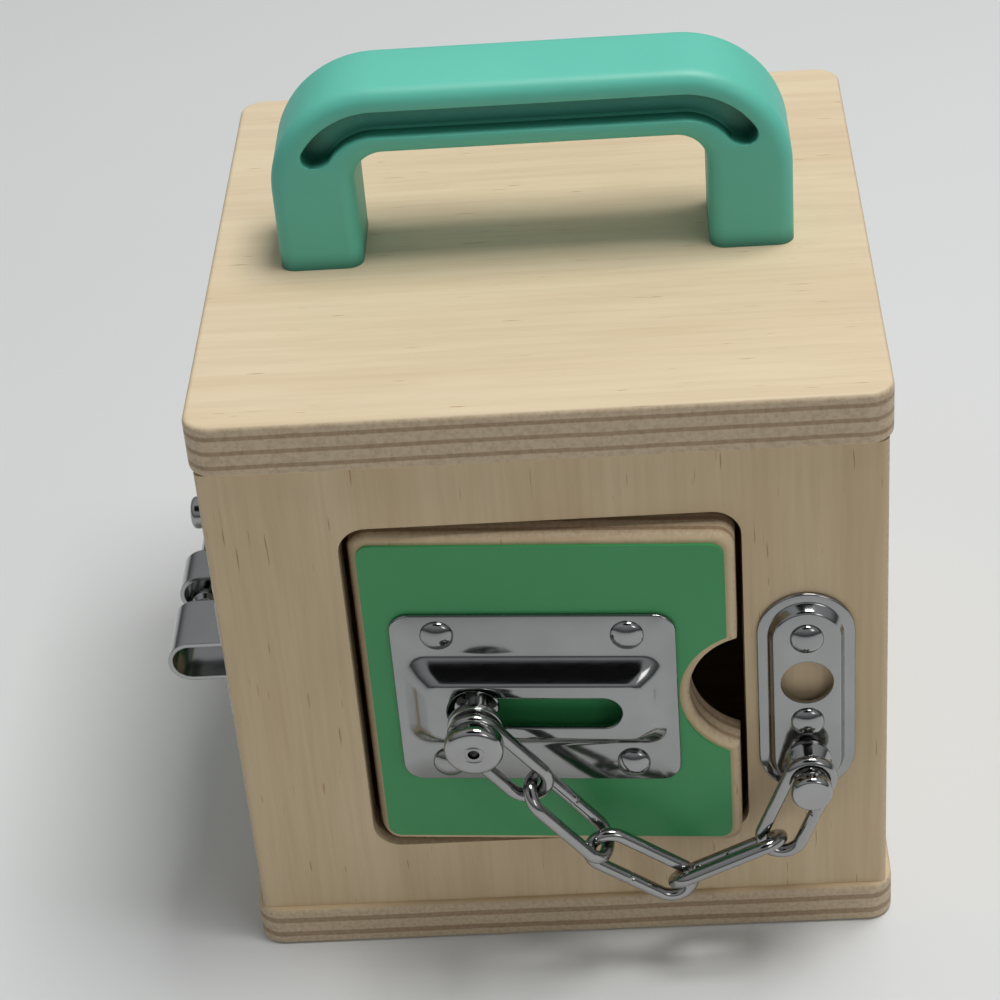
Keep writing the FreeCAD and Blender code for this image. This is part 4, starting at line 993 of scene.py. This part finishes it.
def studio_world():
    """Light from all round, and a plain pale colour where the camera looks past the floor."""
    world = bpy.data.worlds.new("studio")
    world.use_nodes = True
    tree = world.node_tree
    tree.nodes.clear()
    directions = tree.nodes.new("ShaderNodeTexCoord").outputs["Generated"]
    height = counted(tree, "MULTIPLY_ADD", along(tree, directions, UP), 0.5, 0.5)
    sky = ramp(tree, height, (0.46, (0.06, 0.06, 0.065, 1)), (0.56, (0.24, 0.24, 0.25, 1)),
               (0.70, (0.62, 0.63, 0.64, 1)), (0.95, (0.80, 0.81, 0.82, 1)))
    dark_patch = ramp(tree, along(tree, directions, DARK_PATCH_TOWARDS), (0.90, WHITE),
                      (0.94, (0.015, 0.015, 0.017, 1)))
    lighting = tree.nodes.new("ShaderNodeBackground")
    lighting.inputs["Strength"].default_value = WORLD_STRENGTH
    tree.links.new(mixed(tree, 1.0, sky, dark_patch, "MULTIPLY"), lighting.inputs["Color"])
    distance = tree.nodes.new("ShaderNodeBackground")
    distance.inputs["Color"].default_value = DISTANCE_COLOUR
    ray = tree.nodes.new("ShaderNodeLightPath")
    either = tree.nodes.new("ShaderNodeMixShader")
    out = tree.nodes.new("ShaderNodeOutputWorld")
    tree.links.new(ray.outputs["Is Camera Ray"], either.inputs[0])
    tree.links.new(lighting.outputs[0], either.inputs[1])
    tree.links.new(distance.outputs[0], either.inputs[2])
    tree.links.new(either.outputs[0], out.inputs["Surface"])
    return world


area_lamp("overhead_lamp", (0.32, 0.02, 1.45), (0, 0, 0.1), 0.62, 0.5, 14.8, (1.0, 0.99, 0.97))
area_lamp("front_lamp", (0.9, -1.3, 0.9), (0, 0, 0.08), 0.5, 0.5, 1.7, (1.0, 0.97, 0.93))
bpy.context.scene.world = studio_world()


# Camera.
# It stands in front of the box and above it, a little to the right, and looks down at it with a
# slight roll.

CAMERA_PLACE = (0.02318, -0.56928, 0.47546)
CAMERA_TURN = (54.837, 4.120, 0.846)
FOCAL_PIXELS = 2792.96
PICTURE_PIXELS = 1000
lens = bpy.data.cameras.new("view")
lens.sensor_width = 36.0
lens.lens = lens.sensor_width * FOCAL_PIXELS / PICTURE_PIXELS
lens.clip_start = 0.01
view = bpy.data.objects.new("view", lens)
view.location = CAMERA_PLACE
view.rotation_euler = [math.radians(angle) for angle in CAMERA_TURN]
bpy.context.scene.collection.objects.link(view)
bpy.context.scene.camera = view
bpy.context.scene.view_settings.view_transform = "Standard"
